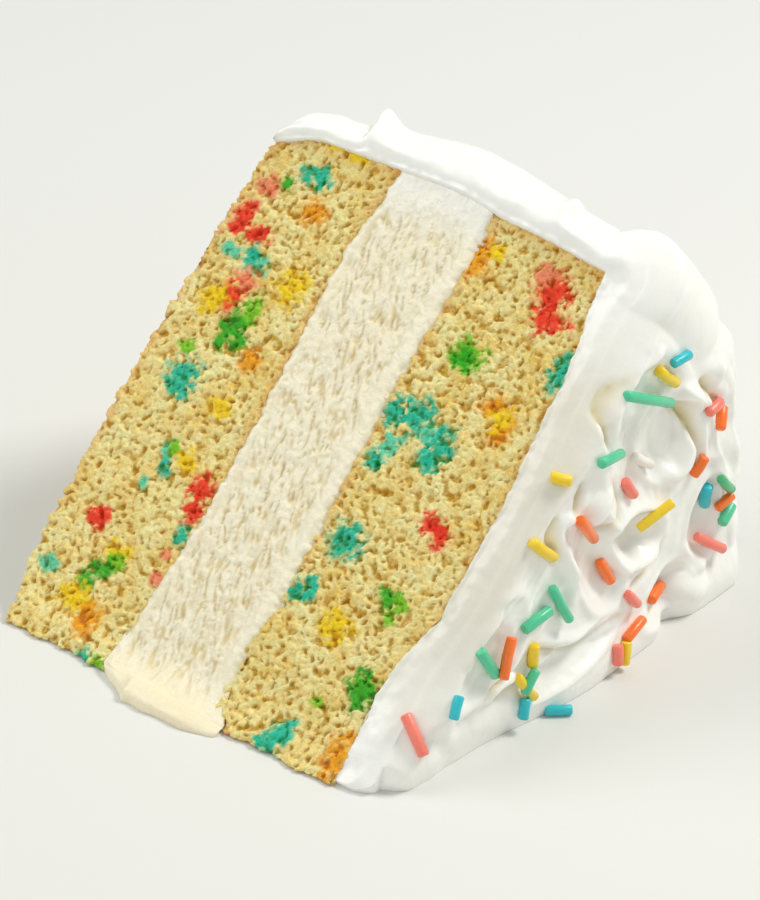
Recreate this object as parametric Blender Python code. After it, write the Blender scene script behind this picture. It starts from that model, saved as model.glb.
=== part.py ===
"""A 45 degree wedge of a layered ice cream cake, lying on one of its two cut sides.

Two layers of cake hold a layer of ice cream between them. Frosting covers the top of the cake
and its outer rim, is worked into spoon strokes and carries rod sprinkles.

X runs from the bottom of the cake to its frosted top, Y from the tip of the wedge to its rim and
Z up, from the cut side that lies on the table to the cut side that faces up. The shapes are
worked out in millimetres from the tip edge, and the meshes hold metres.
"""

import math
import random

import bmesh
import bpy
from mathutils import Matrix, Vector, noise
from mathutils.bvhtree import BVHTree

MM = 0.001

# The whole wedge
CAKE_RADIUS = 114.3
SLICE_ANGLE = math.radians(45)
TIP_RADIUS = 0.9
GAP = 0.3

# Layers, measured from the bottom of the cake at its rim
LOWER_CAKE_TOP = 28.1
ICE_CREAM_TOP = 53.6
UPPER_CAKE_TOP = 87.9
BOTTOM_LEAN = 5.3
BOTTOM_TIP_ROUNDING = 2.8
UPPER_CAKE_CROWN_DROP = 2.2

# Crumb and ice cream relief
CRUMB_RELIEF = 0.55
CRUMB_SIZE = 9.0
TIP_CRUMBS = 1.6
ICE_RELIEF = 0.35
MELT_LENGTH = 7.3
MELT_HEIGHT = 6.6
MELT_REACH = 17.0

# Frosting
TOP_OUT = 97.2
RIM_OUT = 123.6
SHOULDER_RADIUS = 15.0
RIM_END_ROUNDING = 4.0
UPPER_CORNER = 5.0
LOWER_CORNER = 3.0
PROFILE_STEP = 2.4
TURN_STEPS = 38
KNIFE_BAND = 4.5
STROKE_ROUNDING = 0.35
THINNEST_FROSTING = 4.0
INNER_RINGS = (92.0, 64.0, 42.0, 28.0, 20.0, 14.0, 8.0, 4.0)
FROSTING_TRIANGLE_SHARE = 0.6

# Rod sprinkles
SPRINKLE_COUNT = 38
SPRINKLE_DIAMETER = 2.1
SPRINKLE_SHORTEST = 4.0
SPRINKLE_LONGEST = 9.5
SPRINKLE_SPACING = 6.0
SPRINKLE_SINK = 0.30
SPRINKLE_SEED = 4

# Mesh divisions of a layer
RADIAL_STEPS = 23
LAYER_TURN_STEPS = 7


def ease(value, low, high):
    """0 below low, 1 above high, and a smooth rise between them."""
    share = min(max((value - low) / (high - low), 0.0), 1.0)
    return share * share * (3.0 - 2.0 * share)


def hump(value, middle, reach):
    """A smooth hump of height 1 round middle."""
    return math.exp(-(((value - middle) / reach) ** 2))


def along(value, stations):
    """The height at value on a smooth line through (place, height) stations."""
    for (start, low), (end, high) in zip(stations, stations[1:]):
        if value <= end:
            return low + (high - low) * ease(value, start, end)
    return stations[-1][1]


def lumps(x, y, z, size, seed):
    """Smooth noise from -1 to 1 with lumps of this size."""
    place = Vector((x, y, z)) / size + Vector((seed * 7.31, seed * 3.17, seed * 5.71))
    return noise.noise(place) + 0.5 * noise.noise(place * 2.1)


# Where the layers start and end, at each distance from the tip edge


def bottom_of_cake(radius):
    """The bottom of the cake bellies out towards the tip and draws in again at the very tip."""
    lean = BOTTOM_LEAN * (1.0 - (radius / CAKE_RADIUS) ** 3)
    return -lean + BOTTOM_TIP_ROUNDING * (1.0 - ease(radius, 0.0, 16.0))


def top_of_lower_cake(radius):
    return LOWER_CAKE_TOP - 1.4 * hump(radius, 32.0, 9.0) + 2.6 * ease(radius, 98.0, CAKE_RADIUS)


def top_of_ice_cream(radius):
    return ICE_CREAM_TOP + 2.0 * ease(radius, 72.0, 108.0)


def top_of_upper_cake(radius):
    crown = UPPER_CAKE_CROWN_DROP * (radius / CAKE_RADIUS) ** 8
    return UPPER_CAKE_TOP - crown - 3.6 * hump(radius, 14.0, 10.0)


# Shared steps of the four solids


def material(name, colour, roughness):
    made = bpy.data.materials.new(name)
    made.use_nodes = True
    shader = made.node_tree.nodes["Principled BSDF"]
    shader.inputs["Base Color"].default_value = (*colour, 1.0)
    shader.inputs["Roughness"].default_value = roughness
    shader.inputs["Metallic"].default_value = 0.0
    return made


def finish(mesh, name, surface):
    """Turns a bmesh in millimetres into a named object in metres, facing out."""
    bmesh.ops.recalc_face_normals(mesh, faces=mesh.faces)
    bmesh.ops.scale(mesh, vec=(MM, MM, MM), verts=mesh.verts)
    data = bpy.data.meshes.new(name)
    mesh.to_mesh(data)
    mesh.free()
    data.materials.append(surface)
    made = bpy.data.objects.new(name, data)
    bpy.context.scene.collection.objects.link(made)
    return made


def turn_into_wedge(mesh, steps):
    """Sweeps the flat profile in the XY plane about X, up to the cut side that faces up."""
    bmesh.ops.spin(
        mesh,
        geom=mesh.verts[:] + mesh.edges[:] + mesh.faces[:],
        cent=(0.0, 0.0, 0.0),
        axis=(1.0, 0.0, 0.0),
        angle=SLICE_ANGLE,
        steps=steps,
    )


def merge_flat_faces(mesh, on_face):
    """Joins the small faces of one flat side into one, so that it costs few triangles."""
    faces = [face for face in mesh.faces if all(on_face(vertex.co) for vertex in face.verts)]
    edges = {edge for face in faces for edge in face.edges}
    inner = [edge for edge in edges if all(face in faces for face in edge.link_faces)]
    bmesh.ops.dissolve_edges(mesh, edges=inner, use_verts=False)


def on_table(place):
    return abs(place.z) < 1e-4


# The cake and the ice cream


def layer(name, start, end, columns, surface, shape):
    """One layer: a grid from start(radius) to end(radius), swept about X and then shaped."""
    mesh = bmesh.new()
    bmesh.ops.create_grid(mesh, x_segments=columns, y_segments=RADIAL_STEPS, size=0.5)
    for vertex in mesh.verts:
        across = vertex.co.x + 0.5
        outward = vertex.co.y + 0.5
        radius = TIP_RADIUS + (CAKE_RADIUS - TIP_RADIUS) * outward
        vertex.co = Vector((start(radius) + (end(radius) - start(radius)) * across, radius, 0.0))
    turn_into_wedge(mesh, LAYER_TURN_STEPS)
    for vertex in mesh.verts:
        radius = math.hypot(vertex.co.y, vertex.co.z)
        turned = math.atan2(vertex.co.z, vertex.co.y)
        across = (vertex.co.x - start(radius)) / (end(radius) - start(radius))
        vertex.co = shape(vertex.co.copy(), radius, turned / SLICE_ANGLE, across)
    merge_flat_faces(mesh, on_table)
    return finish(mesh, name, surface)


UP_FROM_CUT = Vector((0.0, -math.sin(SLICE_ANGLE), math.cos(SLICE_ANGLE)))


def crumbly(open_side, seed):
    """Crumb relief on the sides of a cake layer that show: its cut, its tip and the open side."""

    def shape(place, radius, turned, across):
        bump = CRUMB_RELIEF * lumps(*place, CRUMB_SIZE, seed)
        if turned > 0.999:
            place += UP_FROM_CUT * (bump - 0.3)
        if across < 0.001 and open_side:
            place.x += 1.5 * bump
        tip = 1.0 - ease(radius, TIP_RADIUS, 12.0)
        place.y -= (TIP_CRUMBS - 2.0 * bump) * tip * ease(turned, -0.4, 1.0)
        return place

    return shape


def melted(place, radius, turned, across):
    """Ice cream: a wrinkled cut, and a tip that has melted forward onto the table."""
    if turned > 0.999:
        ripple = math.sin(place.x * 0.9 + 2.0 * noise.noise(Vector((place.x, radius, 0.0)) / 9.0))
        place += UP_FROM_CUT * ICE_RELIEF * ripple * ease(radius, 8.0, 20.0)
    fade = (1.0 - ease(radius, 0.0, MELT_REACH)) ** 1.5
    sides = 1.0 - abs(2.0 * across - 1.0) ** 4
    lean = math.radians(80.0) * turned
    front = Vector((0.0, 1.0 - MELT_LENGTH * math.cos(lean), MELT_HEIGHT * math.sin(lean)))
    fade *= 0.55 + 0.45 * sides
    place.y += (front.y - place.y) * fade
    place.z += (front.z - place.z) * fade
    return place


# The frosting


# Spoon strokes on the top of the cake: the middle of each as (Y, Z), its heading in degrees from
# Y, its half length, its half width and its depth
STROKES = (
    (42.0, 33.0, 42.0, 24.0, 9.0, 2.0),
    (73.0, 58.0, 30.0, 15.0, 7.5, 2.6),
    (84.0, 46.0, 100.0, 9.5, 8.0, 3.4),
    (82.0, 32.0, 10.0, 10.0, 5.5, 2.4),
    (62.0, 28.0, -65.0, 15.0, 6.0, 3.0),
    (75.0, 24.0, -30.0, 9.5, 6.5, 3.4),
    (30.0, 20.0, 10.0, 17.0, 7.0, 3.0),
    (54.0, 11.0, 12.0, 16.0, 5.0, 2.2),
    (95.5, 38.0, 92.0, 15.0, 4.0, 2.8),
    (103.5, 42.0, 100.0, 15.0, 3.6, 2.2),
    (98.0, 20.0, 75.0, 10.0, 5.0, 2.2),
)

# Tongues of frosting that the spoon left standing, in the same terms, with their height
TONGUES = (
    (65.5, 41.5, 62.0, 9.0, 5.5, 2.6),
    (97.0, 50.5, -28.0, 8.0, 4.2, 2.0),
    (104.0, 52.0, -55.0, 8.5, 4.4, 1.7),
    (82.0, 18.0, 45.0, 7.0, 3.0, 1.6),
    (94.0, 6.0, 20.0, 8.0, 7.0, 2.4),
    (110.0, 14.0, 80.0, 10.0, 6.0, 2.0),
)

# Folds on the rim: the middle as (X, arc length up from the table), then as above
RIM_FOLDS = (
    (20.0, 78.0, 8.0, 26.0, 6.0, 1.6),
    (60.0, 70.0, -14.0, 34.0, 7.0, 2.2),
    (28.0, 48.0, 10.0, 30.0, 8.0, 1.8),
    (70.0, 40.0, -8.0, 30.0, 8.0, 2.2),
    (36.0, 20.0, 6.0, 34.0, 8.0, 1.8),
    (78.0, 14.0, 12.0, 24.0, 7.0, 2.0),
)


def stroke_distance(a, b, stroke):
    """How far (a, b) is from the middle of a stroke, as a share of its half sizes."""
    middle_a, middle_b, heading, half_length, half_width, _ = stroke
    turn = math.radians(heading)
    lengthways = (a - middle_a) * math.cos(turn) + (b - middle_b) * math.sin(turn)
    sideways = (b - middle_b) * math.cos(turn) - (a - middle_a) * math.sin(turn)
    return math.hypot(lengthways / half_length, sideways / half_width)


def soft_lower(first, second):
    """The lower of two heights, with a small rounding where they cross."""
    middle = (first + second) / 2.0
    apart = abs(first - second) / 2.0
    return middle - math.hypot(apart, STROKE_ROUNDING)


def worked_surface(a, b, strokes, tongues, standing):
    """The height of spooned frosting: each stroke carves what stood there and lifts a lip."""
    height = standing
    for stroke in strokes:
        depth = stroke[5]
        share = stroke_distance(a, b, stroke)
        height = soft_lower(height, depth * (1.35 * share * share - 1.0))
        height += 0.30 * depth * hump(share, 1.12, 0.16)
    for tongue in tongues:
        share = stroke_distance(a, b, tongue)
        height = max(height, tongue[5] * (1.6 - share * share * 2.2) - 1.0)
    return height


def cut_edge_of_top(radius):
    """Where the frosting on the top ends in the cut side that faces up."""
    return along(radius, ((0.0, 91.5), (9.0, 95.2), (24.0, 94.6), (55.0, 97.2), (98.0, 95.4)))


def foot_of_top(radius):
    """Where the frosting on the top meets the table."""
    stations = ((0.0, 85.5), (9.0, 94.6), (24.0, 96.8), (60.0, 101.6), (80.0, 101.2))
    return along(radius, stations) - 3.4 * hump(radius, 87.5, 4.0)


def rim_edge(x):
    """How far out the frosting on the rim reaches in the cut side that faces up."""
    curl = 2.6 * hump(x, 22.0, 2.6)
    return along(x, ((0.0, 121.4), (12.0, 123.4), (44.0, 127.6), (90.0, 122.0))) + curl


def frosting_profile():
    """The outline of the frosting in the XY plane: outside from the tip, then inside back."""
    inside_top = UPPER_CAKE_TOP + GAP
    inside_rim = CAKE_RADIUS + GAP
    points = [Vector((inside_top - 1.6, TIP_RADIUS)), Vector((TOP_OUT - 4.0, TIP_RADIUS))]
    straight = RIM_OUT - SHOULDER_RADIUS
    count = round((straight - TIP_RADIUS - 2.0) / PROFILE_STEP)
    for step in range(count + 1):
        points.append(Vector((TOP_OUT, TIP_RADIUS + 2.0 + (straight - TIP_RADIUS - 2.0) * step / count)))
    count = round(SHOULDER_RADIUS * math.pi / 2.0 / PROFILE_STEP)
    for step in range(1, count + 1):
        turn = math.pi / 2.0 * step / count
        centre = Vector((TOP_OUT - SHOULDER_RADIUS, straight))
        points.append(centre + SHOULDER_RADIUS * Vector((math.cos(turn), math.sin(turn))))
    side = TOP_OUT - SHOULDER_RADIUS
    count = round((side - RIM_END_ROUNDING) / (PROFILE_STEP * 1.3))
    for step in range(1, count + 1):
        points.append(Vector((side + (RIM_END_ROUNDING - side) * step / count, RIM_OUT)))
    for turn in (35.0, 75.0):
        lean = math.radians(turn)
        out = Vector((-math.sin(lean), math.cos(lean) - 1.0)) * RIM_END_ROUNDING
        points.append(Vector((RIM_END_ROUNDING, RIM_OUT)) + out)
    points.append(Vector((0.6, inside_rim)))
    for share in (0.33, 0.67, 1.0):
        points.append(Vector((0.6 + (inside_top - 0.6) * share, inside_rim)))
    for radius in INNER_RINGS:
        points.append(Vector((inside_top, radius)))
    return points


def shape_frosting(place):
    """Moves a point of the swept profile out to the worked surface."""
    radius = math.hypot(place.y, place.z)
    turned = math.atan2(place.z, place.y) / SLICE_ANGLE
    arc = turned * SLICE_ANGLE * radius
    from_cut = (1.0 - turned) * SLICE_ANGLE * radius
    side = TOP_OUT - SHOULDER_RADIUS
    straight = RIM_OUT - SHOULDER_RADIUS
    lean = math.atan2(max(radius - straight, 0.0), max(place.x - side, 1e-6))
    if radius <= straight:
        lean = 0.0
    if place.x <= side:
        lean = math.pi / 2.0
    on_rim = lean / (math.pi / 2.0)
    # The nominal surface runs from the measured cut edge to the measured foot.
    edge = ease(from_cut, 0.0, KNIFE_BAND)
    low = 1.0 - ease(place.z, 0.0, 26.0)
    top_shift = (cut_edge_of_top(radius) - TOP_OUT) * (1.0 - edge)
    top_shift += (foot_of_top(radius) - TOP_OUT) * low
    top_shift += 1.6 * edge * (1.0 - low) * ease(radius, 8.0, 30.0)
    rim_shift = (rim_edge(place.x) - RIM_OUT) * (0.35 + 0.65 * turned)
    top_work = worked_surface(place.y, place.z, STROKES, TONGUES, 0.8)
    rim_work = worked_surface(place.x, arc, RIM_FOLDS, (), 0.6)
    fade = edge * ease(radius, 2.0, 14.0) * (0.35 + 0.65 * ease(place.z, 0.0, 6.0))
    corner = UPPER_CORNER * ease(turned, 0.35, 0.72) * (0.6 + 0.4 * edge)
    corner -= LOWER_CORNER * (1.0 - ease(turned, 0.0, 0.3))
    shift = (1.0 - on_rim) * (top_shift + top_work * fade) + corner * math.sin(2.0 * lean)
    shift += on_rim * (rim_shift + rim_work * edge * ease(place.x, 0.0, 8.0))
    shift += 0.5 * lumps(place.x, place.y, place.z, 16.0, 3) * fade
    shift = max(shift, THINNEST_FROSTING - (TOP_OUT - UPPER_CAKE_TOP))
    out = Vector((0.0, math.cos(turned * SLICE_ANGLE), math.sin(turned * SLICE_ANGLE)))
    return place + shift * (Vector((1.0, 0.0, 0.0)) * math.cos(lean) + out * math.sin(lean))


def frosting_shell(surface):
    mesh = bmesh.new()
    outline = frosting_profile()
    corners = [mesh.verts.new((point.x, point.y, 0.0)) for point in outline]
    mesh.faces.new(corners)
    turn_into_wedge(mesh, TURN_STEPS)
    inside_top = UPPER_CAKE_TOP + GAP + 0.01
    inside_rim = CAKE_RADIUS + GAP + 0.01
    for vertex in mesh.verts:
        radius = math.hypot(vertex.co.y, vertex.co.z)
        outside = vertex.co.x > inside_top or radius > inside_rim
        if not outside:
            if vertex.co.x > UPPER_CAKE_TOP - 3.0:
                vertex.co.x = top_of_upper_cake(radius) + GAP + 0.25
            continue
        if radius < TIP_RADIUS + 0.1:
            vertex.co.x += cut_edge_of_top(0.0) - TOP_OUT + 3.0
            continue
        vertex.co = shape_frosting(vertex.co.copy())
    return finish(mesh, "frosting", surface)


def keep_on_table(shell):
    """Brings the points beside the table back onto it after the mesh was thinned out."""
    for vertex in shell.data.vertices:
        if vertex.co.z < 0.05 * MM:
            vertex.co.z = 0.0


def apply_modifier(shell, kind, **settings):
    modifier = shell.modifiers.new(kind.title(), kind)
    for key, value in settings.items():
        setattr(modifier, key, value)
    bpy.context.view_layer.objects.active = shell
    bpy.ops.object.modifier_apply(modifier=modifier.name)


def rod(length):
    """A round-ended rod along X with six sides."""
    mesh = bmesh.new()
    bmesh.ops.create_uvsphere(mesh, u_segments=6, v_segments=3, radius=SPRINKLE_DIAMETER / 2.0)
    for vertex in mesh.verts:
        vertex.co.z += math.copysign(length / 2.0 - SPRINKLE_DIAMETER / 2.0, vertex.co.z)
    bmesh.ops.rotate(mesh, verts=mesh.verts, matrix=Matrix.Rotation(math.pi / 2.0, 3, "Y"))
    return mesh


def sprinkle_places(draw):
    """Places on the top, as (Y, Z), spread evenly clear of the knife band and the table."""
    places = []
    for _ in range(4000):
        radius = CAKE_RADIUS * math.sqrt(draw.uniform(0.02, 1.0))
        turned = draw.uniform(0.0, 1.0)
        y = radius * math.cos(turned * SLICE_ANGLE)
        z = radius * math.sin(turned * SLICE_ANGLE)
        if z < SPRINKLE_LONGEST / 2.0 + 2.5 or (y - z) * math.sin(SLICE_ANGLE) < 8.0:
            continue
        if all(math.hypot(y - other[0], z - other[1]) > SPRINKLE_SPACING for other in places):
            places.append((y, z))
        if len(places) == SPRINKLE_COUNT:
            break
    return places


def lay_sprinkles(shell, surface):
    """Rods that lie on the top of the frosting, each sunk in by part of its thickness."""
    tree = BVHTree.FromObject(shell, bpy.context.evaluated_depsgraph_get())
    draw = random.Random(SPRINKLE_SEED)
    group = bpy.data.collections.new("sprinkles")
    bpy.context.scene.collection.children.link(group)
    lengths = [
        SPRINKLE_LONGEST + (SPRINKLE_SHORTEST - SPRINKLE_LONGEST) * step / (SPRINKLE_COUNT - 1)
        for step in range(SPRINKLE_COUNT)
    ]
    for (y, z), length in zip(sprinkle_places(draw), lengths):
        mesh = rod(length)
        ray = Vector((200.0 * MM, y * MM, z * MM)), Vector((-1.0, 0.0, 0.0))
        place, normal, _, _ = tree.ray_cast(*ray)
        normal = (normal + Vector((1.0, 0.0, 0.0))).normalized()
        heading = draw.uniform(0.0, math.pi)
        lengthways = Vector((0.0, math.cos(heading), math.sin(heading)))
        lengthways = (lengthways - normal * lengthways.dot(normal)).normalized()
        frame = Matrix((lengthways, normal.cross(lengthways), normal)).transposed()
        rise = SPRINKLE_DIAMETER * (0.5 - SPRINKLE_SINK)
        bmesh.ops.rotate(mesh, verts=mesh.verts, matrix=frame)
        bmesh.ops.translate(mesh, verts=mesh.verts, vec=place / MM + normal * rise)
        made = finish(mesh, f"sprinkle_{len(group.objects):02d}", surface)
        bpy.context.scene.collection.objects.unlink(made)
        group.objects.link(made)
    apply_modifier(
        shell,
        "BOOLEAN",
        operation="UNION",
        operand_type="COLLECTION",
        collection=group,
        solver="MANIFOLD",
    )
    for made in list(group.objects):
        bpy.data.objects.remove(made)
    bpy.data.collections.remove(group)


# Assembly


def stand_on_origin(parts):
    """Carries the parts on an empty, so that the middle of their footprint is at the origin."""
    places = [vertex.co for part in parts for vertex in part.data.vertices]
    stand = bpy.data.objects.new("slice", None)
    bpy.context.scene.collection.objects.link(stand)
    stand.location = (
        -(min(p.x for p in places) + max(p.x for p in places)) / 2.0,
        -(min(p.y for p in places) + max(p.y for p in places)) / 2.0,
        -min(p.z for p in places),
    )
    for part in parts:
        part.parent = stand


def main():
    for old in list(bpy.data.objects):
        bpy.data.objects.remove(old)
    cake = material("cake", (0.76, 0.66, 0.42), 0.85)
    ice_cream = material("ice cream", (0.82, 0.77, 0.62), 0.45)
    icing = material("icing", (0.93, 0.92, 0.88), 0.35)

    lower = layer(
        "cake_layer_bottom", bottom_of_cake, top_of_lower_cake, 8, cake, crumbly(True, 1)
    )
    filling = layer(
        "ice_cream_layer",
        lambda radius: top_of_lower_cake(radius) + GAP,
        lambda radius: top_of_ice_cream(radius) - GAP,
        7,
        ice_cream,
        melted,
    )
    upper = layer(
        "cake_layer_top", top_of_ice_cream, top_of_upper_cake, 9, cake, crumbly(False, 2)
    )
    frosting = frosting_shell(icing)
    apply_modifier(frosting, "DECIMATE", ratio=FROSTING_TRIANGLE_SHARE)
    keep_on_table(frosting)
    lay_sprinkles(frosting, icing)
    stand_on_origin([lower, filling, upper, frosting])


main()
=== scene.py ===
# %% [markdown]
# # A slice of ice cream cake
# A wedge of confetti cake lies on one of its cut sides. Two layers of sponge hold a layer of
# vanilla ice cream, white frosting covers the top and the rim, and pastel rod sprinkles lie on it.
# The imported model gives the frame: every piece below replaces one of its plain solids, at the same
# place and size, with the crumb, wrinkles and spoon strokes that the real food has.

# %% Frame
import math

import bpy
import numpy as np
from mathutils import Matrix, Vector
from mathutils.bvhtree import BVHTree


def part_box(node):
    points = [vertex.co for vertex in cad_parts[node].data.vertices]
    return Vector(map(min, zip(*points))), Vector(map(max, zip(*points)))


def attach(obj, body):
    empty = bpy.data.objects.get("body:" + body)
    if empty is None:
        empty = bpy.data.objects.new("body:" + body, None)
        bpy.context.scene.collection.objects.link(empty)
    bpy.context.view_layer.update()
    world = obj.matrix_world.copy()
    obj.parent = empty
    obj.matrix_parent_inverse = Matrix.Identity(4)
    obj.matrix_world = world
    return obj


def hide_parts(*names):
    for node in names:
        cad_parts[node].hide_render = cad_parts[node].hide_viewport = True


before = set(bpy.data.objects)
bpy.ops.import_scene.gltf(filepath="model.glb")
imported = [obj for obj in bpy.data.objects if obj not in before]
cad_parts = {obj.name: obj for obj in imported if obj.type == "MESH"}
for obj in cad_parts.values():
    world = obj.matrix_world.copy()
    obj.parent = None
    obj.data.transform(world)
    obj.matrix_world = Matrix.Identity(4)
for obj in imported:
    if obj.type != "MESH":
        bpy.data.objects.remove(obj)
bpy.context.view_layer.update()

# %% [markdown]
# ## Sizes
# The shapes are worked out in millimetres in the slice's own frame: X runs from the bottom of the
# cake to its frosted top, Y from the tip of the wedge to its rim and Z up. Its origin is the tip
# edge, so a circle round the X axis is a circle of the whole cake.

# %% Sizes
CAKE_RADIUS = 114.3
SLICE_ANGLE = math.radians(45)
TIP_RADIUS = 0.9
LOWER_CAKE_TOP = 28.1
ICE_CREAM_TOP = 53.6
UPPER_CAKE_TOP = 87.9
TOP_OUT = 97.2
RIM_OUT = 123.6
SHOULDER = 15.0
UP_FROM_CUT = np.array([0.0, -math.sin(SLICE_ANGLE), math.cos(SLICE_ANGLE)])

tip_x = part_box("ice_cream_layer")[1][0] * 1000 - (ICE_CREAM_TOP + 2.0 - 0.3)
tip_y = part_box("cake_layer_bottom")[1][1] * 1000 - CAKE_RADIUS
print("tip edge at", round(tip_x, 2), round(tip_y, 2), "mm")

# %% [markdown]
# ## Camera
# The photo looks down on the slice from the side of its cut face and its frosted top, through a
# long lens, so the wedge keeps nearly parallel edges.

# %% Camera
VIEW_TURN = math.radians(38.73)
VIEW_RISE = math.radians(31.84)
VIEW_ROLL = math.radians(1.40)
VIEW_DISTANCE = 0.9167
LENS = 180.6
LOOK_AT = Vector((46.20 + tip_x, 58.97 + tip_y, 33.51)) / 1000


def add_camera():
    """A camera that stands VIEW_DISTANCE from LOOK_AT and is rolled a little."""
    ahead = Vector((
        -math.sin(VIEW_TURN) * math.cos(VIEW_RISE),
        math.cos(VIEW_TURN) * math.cos(VIEW_RISE),
        -math.sin(VIEW_RISE),
    ))
    level = ahead.cross(Vector((0, 0, 1))).normalized()
    upright = level.cross(ahead)
    right = level * math.cos(VIEW_ROLL) + upright * math.sin(VIEW_ROLL)
    up = upright * math.cos(VIEW_ROLL) - level * math.sin(VIEW_ROLL)
    camera = bpy.data.objects.new("camera", bpy.data.cameras.new("camera"))
    bpy.context.scene.collection.objects.link(camera)
    camera.matrix_world = Matrix((right, up, -ahead)).transposed().to_4x4()
    camera.location = LOOK_AT - ahead * VIEW_DISTANCE
    camera.data.lens = LENS
    camera.data.sensor_width = 36.0
    camera.data.clip_start = 0.01
    bpy.context.scene.camera = camera
    return camera


camera = add_camera()
print("camera at", [round(v, 3) for v in camera.location])

# %% [markdown]
# ## Light and floor
# Food is shot in soft light that wraps round it. One large panel stands to the right and behind,
# weaker ones in front, on the left and on the right, and a pale sky fills the rest.

# %% Light and floor
bpy.context.scene.view_settings.view_transform = "Standard"


def add_panel(name, place, width, power, colour):
    lamp = bpy.data.lights.new(name, "AREA")
    lamp.shape = "DISK"
    lamp.size = width
    lamp.energy = power
    lamp.color = colour
    panel = bpy.data.objects.new(name, lamp)
    bpy.context.scene.collection.objects.link(panel)
    panel.location = place
    panel.rotation_euler = (LOOK_AT - panel.location).to_track_quat("-Z", "Y").to_euler()
    return panel


add_panel("key_panel", (0.38, 0.50, 0.78), 0.30, 5.9, (1.0, 0.98, 0.95))
add_panel("front_panel", (-0.62, -0.30, 0.80), 0.80, 4.1, (1.0, 0.99, 0.97))
add_panel("right_panel", (0.90, -0.25, 0.45), 0.50, 0.4, (1.0, 0.99, 0.97))
add_panel("low_panel", (0.15, -1.00, 0.36), 0.50, 1.2, (1.0, 0.99, 0.97))

sky = bpy.data.worlds.new("sky")
bpy.context.scene.world = sky
sky.use_nodes = True
sky.node_tree.nodes["Background"].inputs["Color"].default_value = (0.93, 1.0, 0.98, 1.0)
sky.node_tree.nodes["Background"].inputs["Strength"].default_value = 0.47


def plain_material(name, colour, roughness):
    made = bpy.data.materials.new(name)
    made.use_nodes = True
    shader = made.node_tree.nodes["Principled BSDF"]
    shader.inputs["Base Color"].default_value = (*colour, 1.0)
    shader.inputs["Roughness"].default_value = roughness
    return made


bpy.ops.object.select_all(action="DESELECT")
bpy.ops.mesh.primitive_plane_add(size=6.0, location=(0, 0, 0))
floor = bpy.context.object
floor.name = "floor"
floor.data.materials.append(plain_material("pale floor", (0.76, 0.75, 0.72), 0.45))

# %% [markdown]
# ## Noise
# Crumb, wrinkles and spoon marks are uneven in an orderly way. Three functions make all of it:
# hash turns a lattice point into a steady random number, waves is smooth noise, and nearest_seed
# finds the closest of many scattered points, which is how bubbles sit in a sponge.

# %% Noise


def hash_of(lattice, seed):
    """Random numbers from 0 to 1 that depend on the lattice points alone."""
    x, y, z = (lattice[..., axis].astype(np.int64) & 0xFFFFFFFF for axis in range(3))
    mixed = (x * 73856093) ^ (y * 19349663) ^ (z * 83492791) ^ (seed * 2654435761)
    mixed &= 0xFFFFFFFF
    mixed = ((mixed ^ (mixed >> 15)) * 2246822519) & 0xFFFFFFFF
    mixed = ((mixed ^ (mixed >> 13)) * 3266489917) & 0xFFFFFFFF
    return ((mixed ^ (mixed >> 16)) & 0xFFFFFF) / float(0x1000000)


def waves(points, size, seed):
    """Smooth noise from about -1 to 1, with lumps of this size."""
    scaled = points / size
    base = np.floor(scaled)
    part = scaled - base
    ease_in = part * part * part * (part * (part * 6 - 15) + 10)
    total = np.zeros(len(points))
    for corner in np.ndindex(2, 2, 2):
        at = base + corner
        away = part - corner
        slope = np.stack([hash_of(at, seed + 11 * axis) * 2 - 1 for axis in range(3)], -1)
        share = np.prod(np.where(np.array(corner) == 1, ease_in, 1 - ease_in), axis=1)
        total += share * np.einsum("ij,ij->i", slope, away)
    return total * 1.6


def columns_of(*parts):
    """Rows of points from their coordinates, some of which may be plain numbers."""
    return np.stack(np.broadcast_arrays(*parts), axis=1)


def bending(points, size, seed):
    """Three waves of this size at each point, to bend a pattern sideways."""
    return columns_of(*(waves(points, size, seed + axis) for axis in range(3)))


def nearest_seed(points, size, seed):
    """(distance to the nearest of many scattered points in cells of this size, its number)."""
    scaled = points / size
    base = np.floor(scaled)
    best = np.full(len(points), 9.0)
    number = np.zeros(len(points))
    for step in np.ndindex(3, 3, 3):
        at = base + np.array(step) - 1
        place = at + np.stack([hash_of(at, seed + 7 * axis) for axis in range(3)], -1)
        away = np.sqrt(((scaled - place) ** 2).sum(1))
        closer = away < best
        best = np.where(closer, away, best)
        number = np.where(closer, hash_of(at, seed + 91), number)
    return best, number


def ease(value, low, high):
    """0 below low, 1 above high, and a smooth rise between them."""
    share = np.clip((value - low) / (high - low), 0.0, 1.0)
    return share * share * (3.0 - 2.0 * share)


def hump(value, middle, reach):
    return np.exp(-(((value - middle) / reach) ** 2))


def along(value, stations):
    """The height at value on a smooth line through (place, height) stations."""
    height = np.full(np.shape(value), float(stations[0][1]))
    for (start, low), (end, high) in zip(stations, stations[1:]):
        height = np.where(value > start, low + (high - low) * ease(value, start, end), height)
    return height


sample = waves(columns_of(np.linspace(0.0, 50.0, 400), 0.3, 0.7), 3.0, 1)
print("waves run from", round(sample.min(), 2), "to", round(sample.max(), 2))

# %% [markdown]
# ## Where the layers start and end
# The layers of a real cake aren't flat: the bottom bellies out and the filling thins and swells.

# %% Layer outlines


def bottom_of_cake(radius):
    lean = 5.3 * (1.0 - (radius / CAKE_RADIUS) ** 3)
    return -lean + 2.8 * (1.0 - ease(radius, 0.0, 16.0))


def top_of_lower_cake(radius):
    tip = 3.2 * (1.0 - ease(radius, 4.0, 46.0))
    return LOWER_CAKE_TOP - tip + 2.6 * ease(radius, 98.0, CAKE_RADIUS)


def top_of_ice_cream(radius):
    return ICE_CREAM_TOP - 1.8 * (1.0 - ease(radius, 15.0, 27.0)) + 2.0 * ease(radius, 72.0, 108.0)


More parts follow.
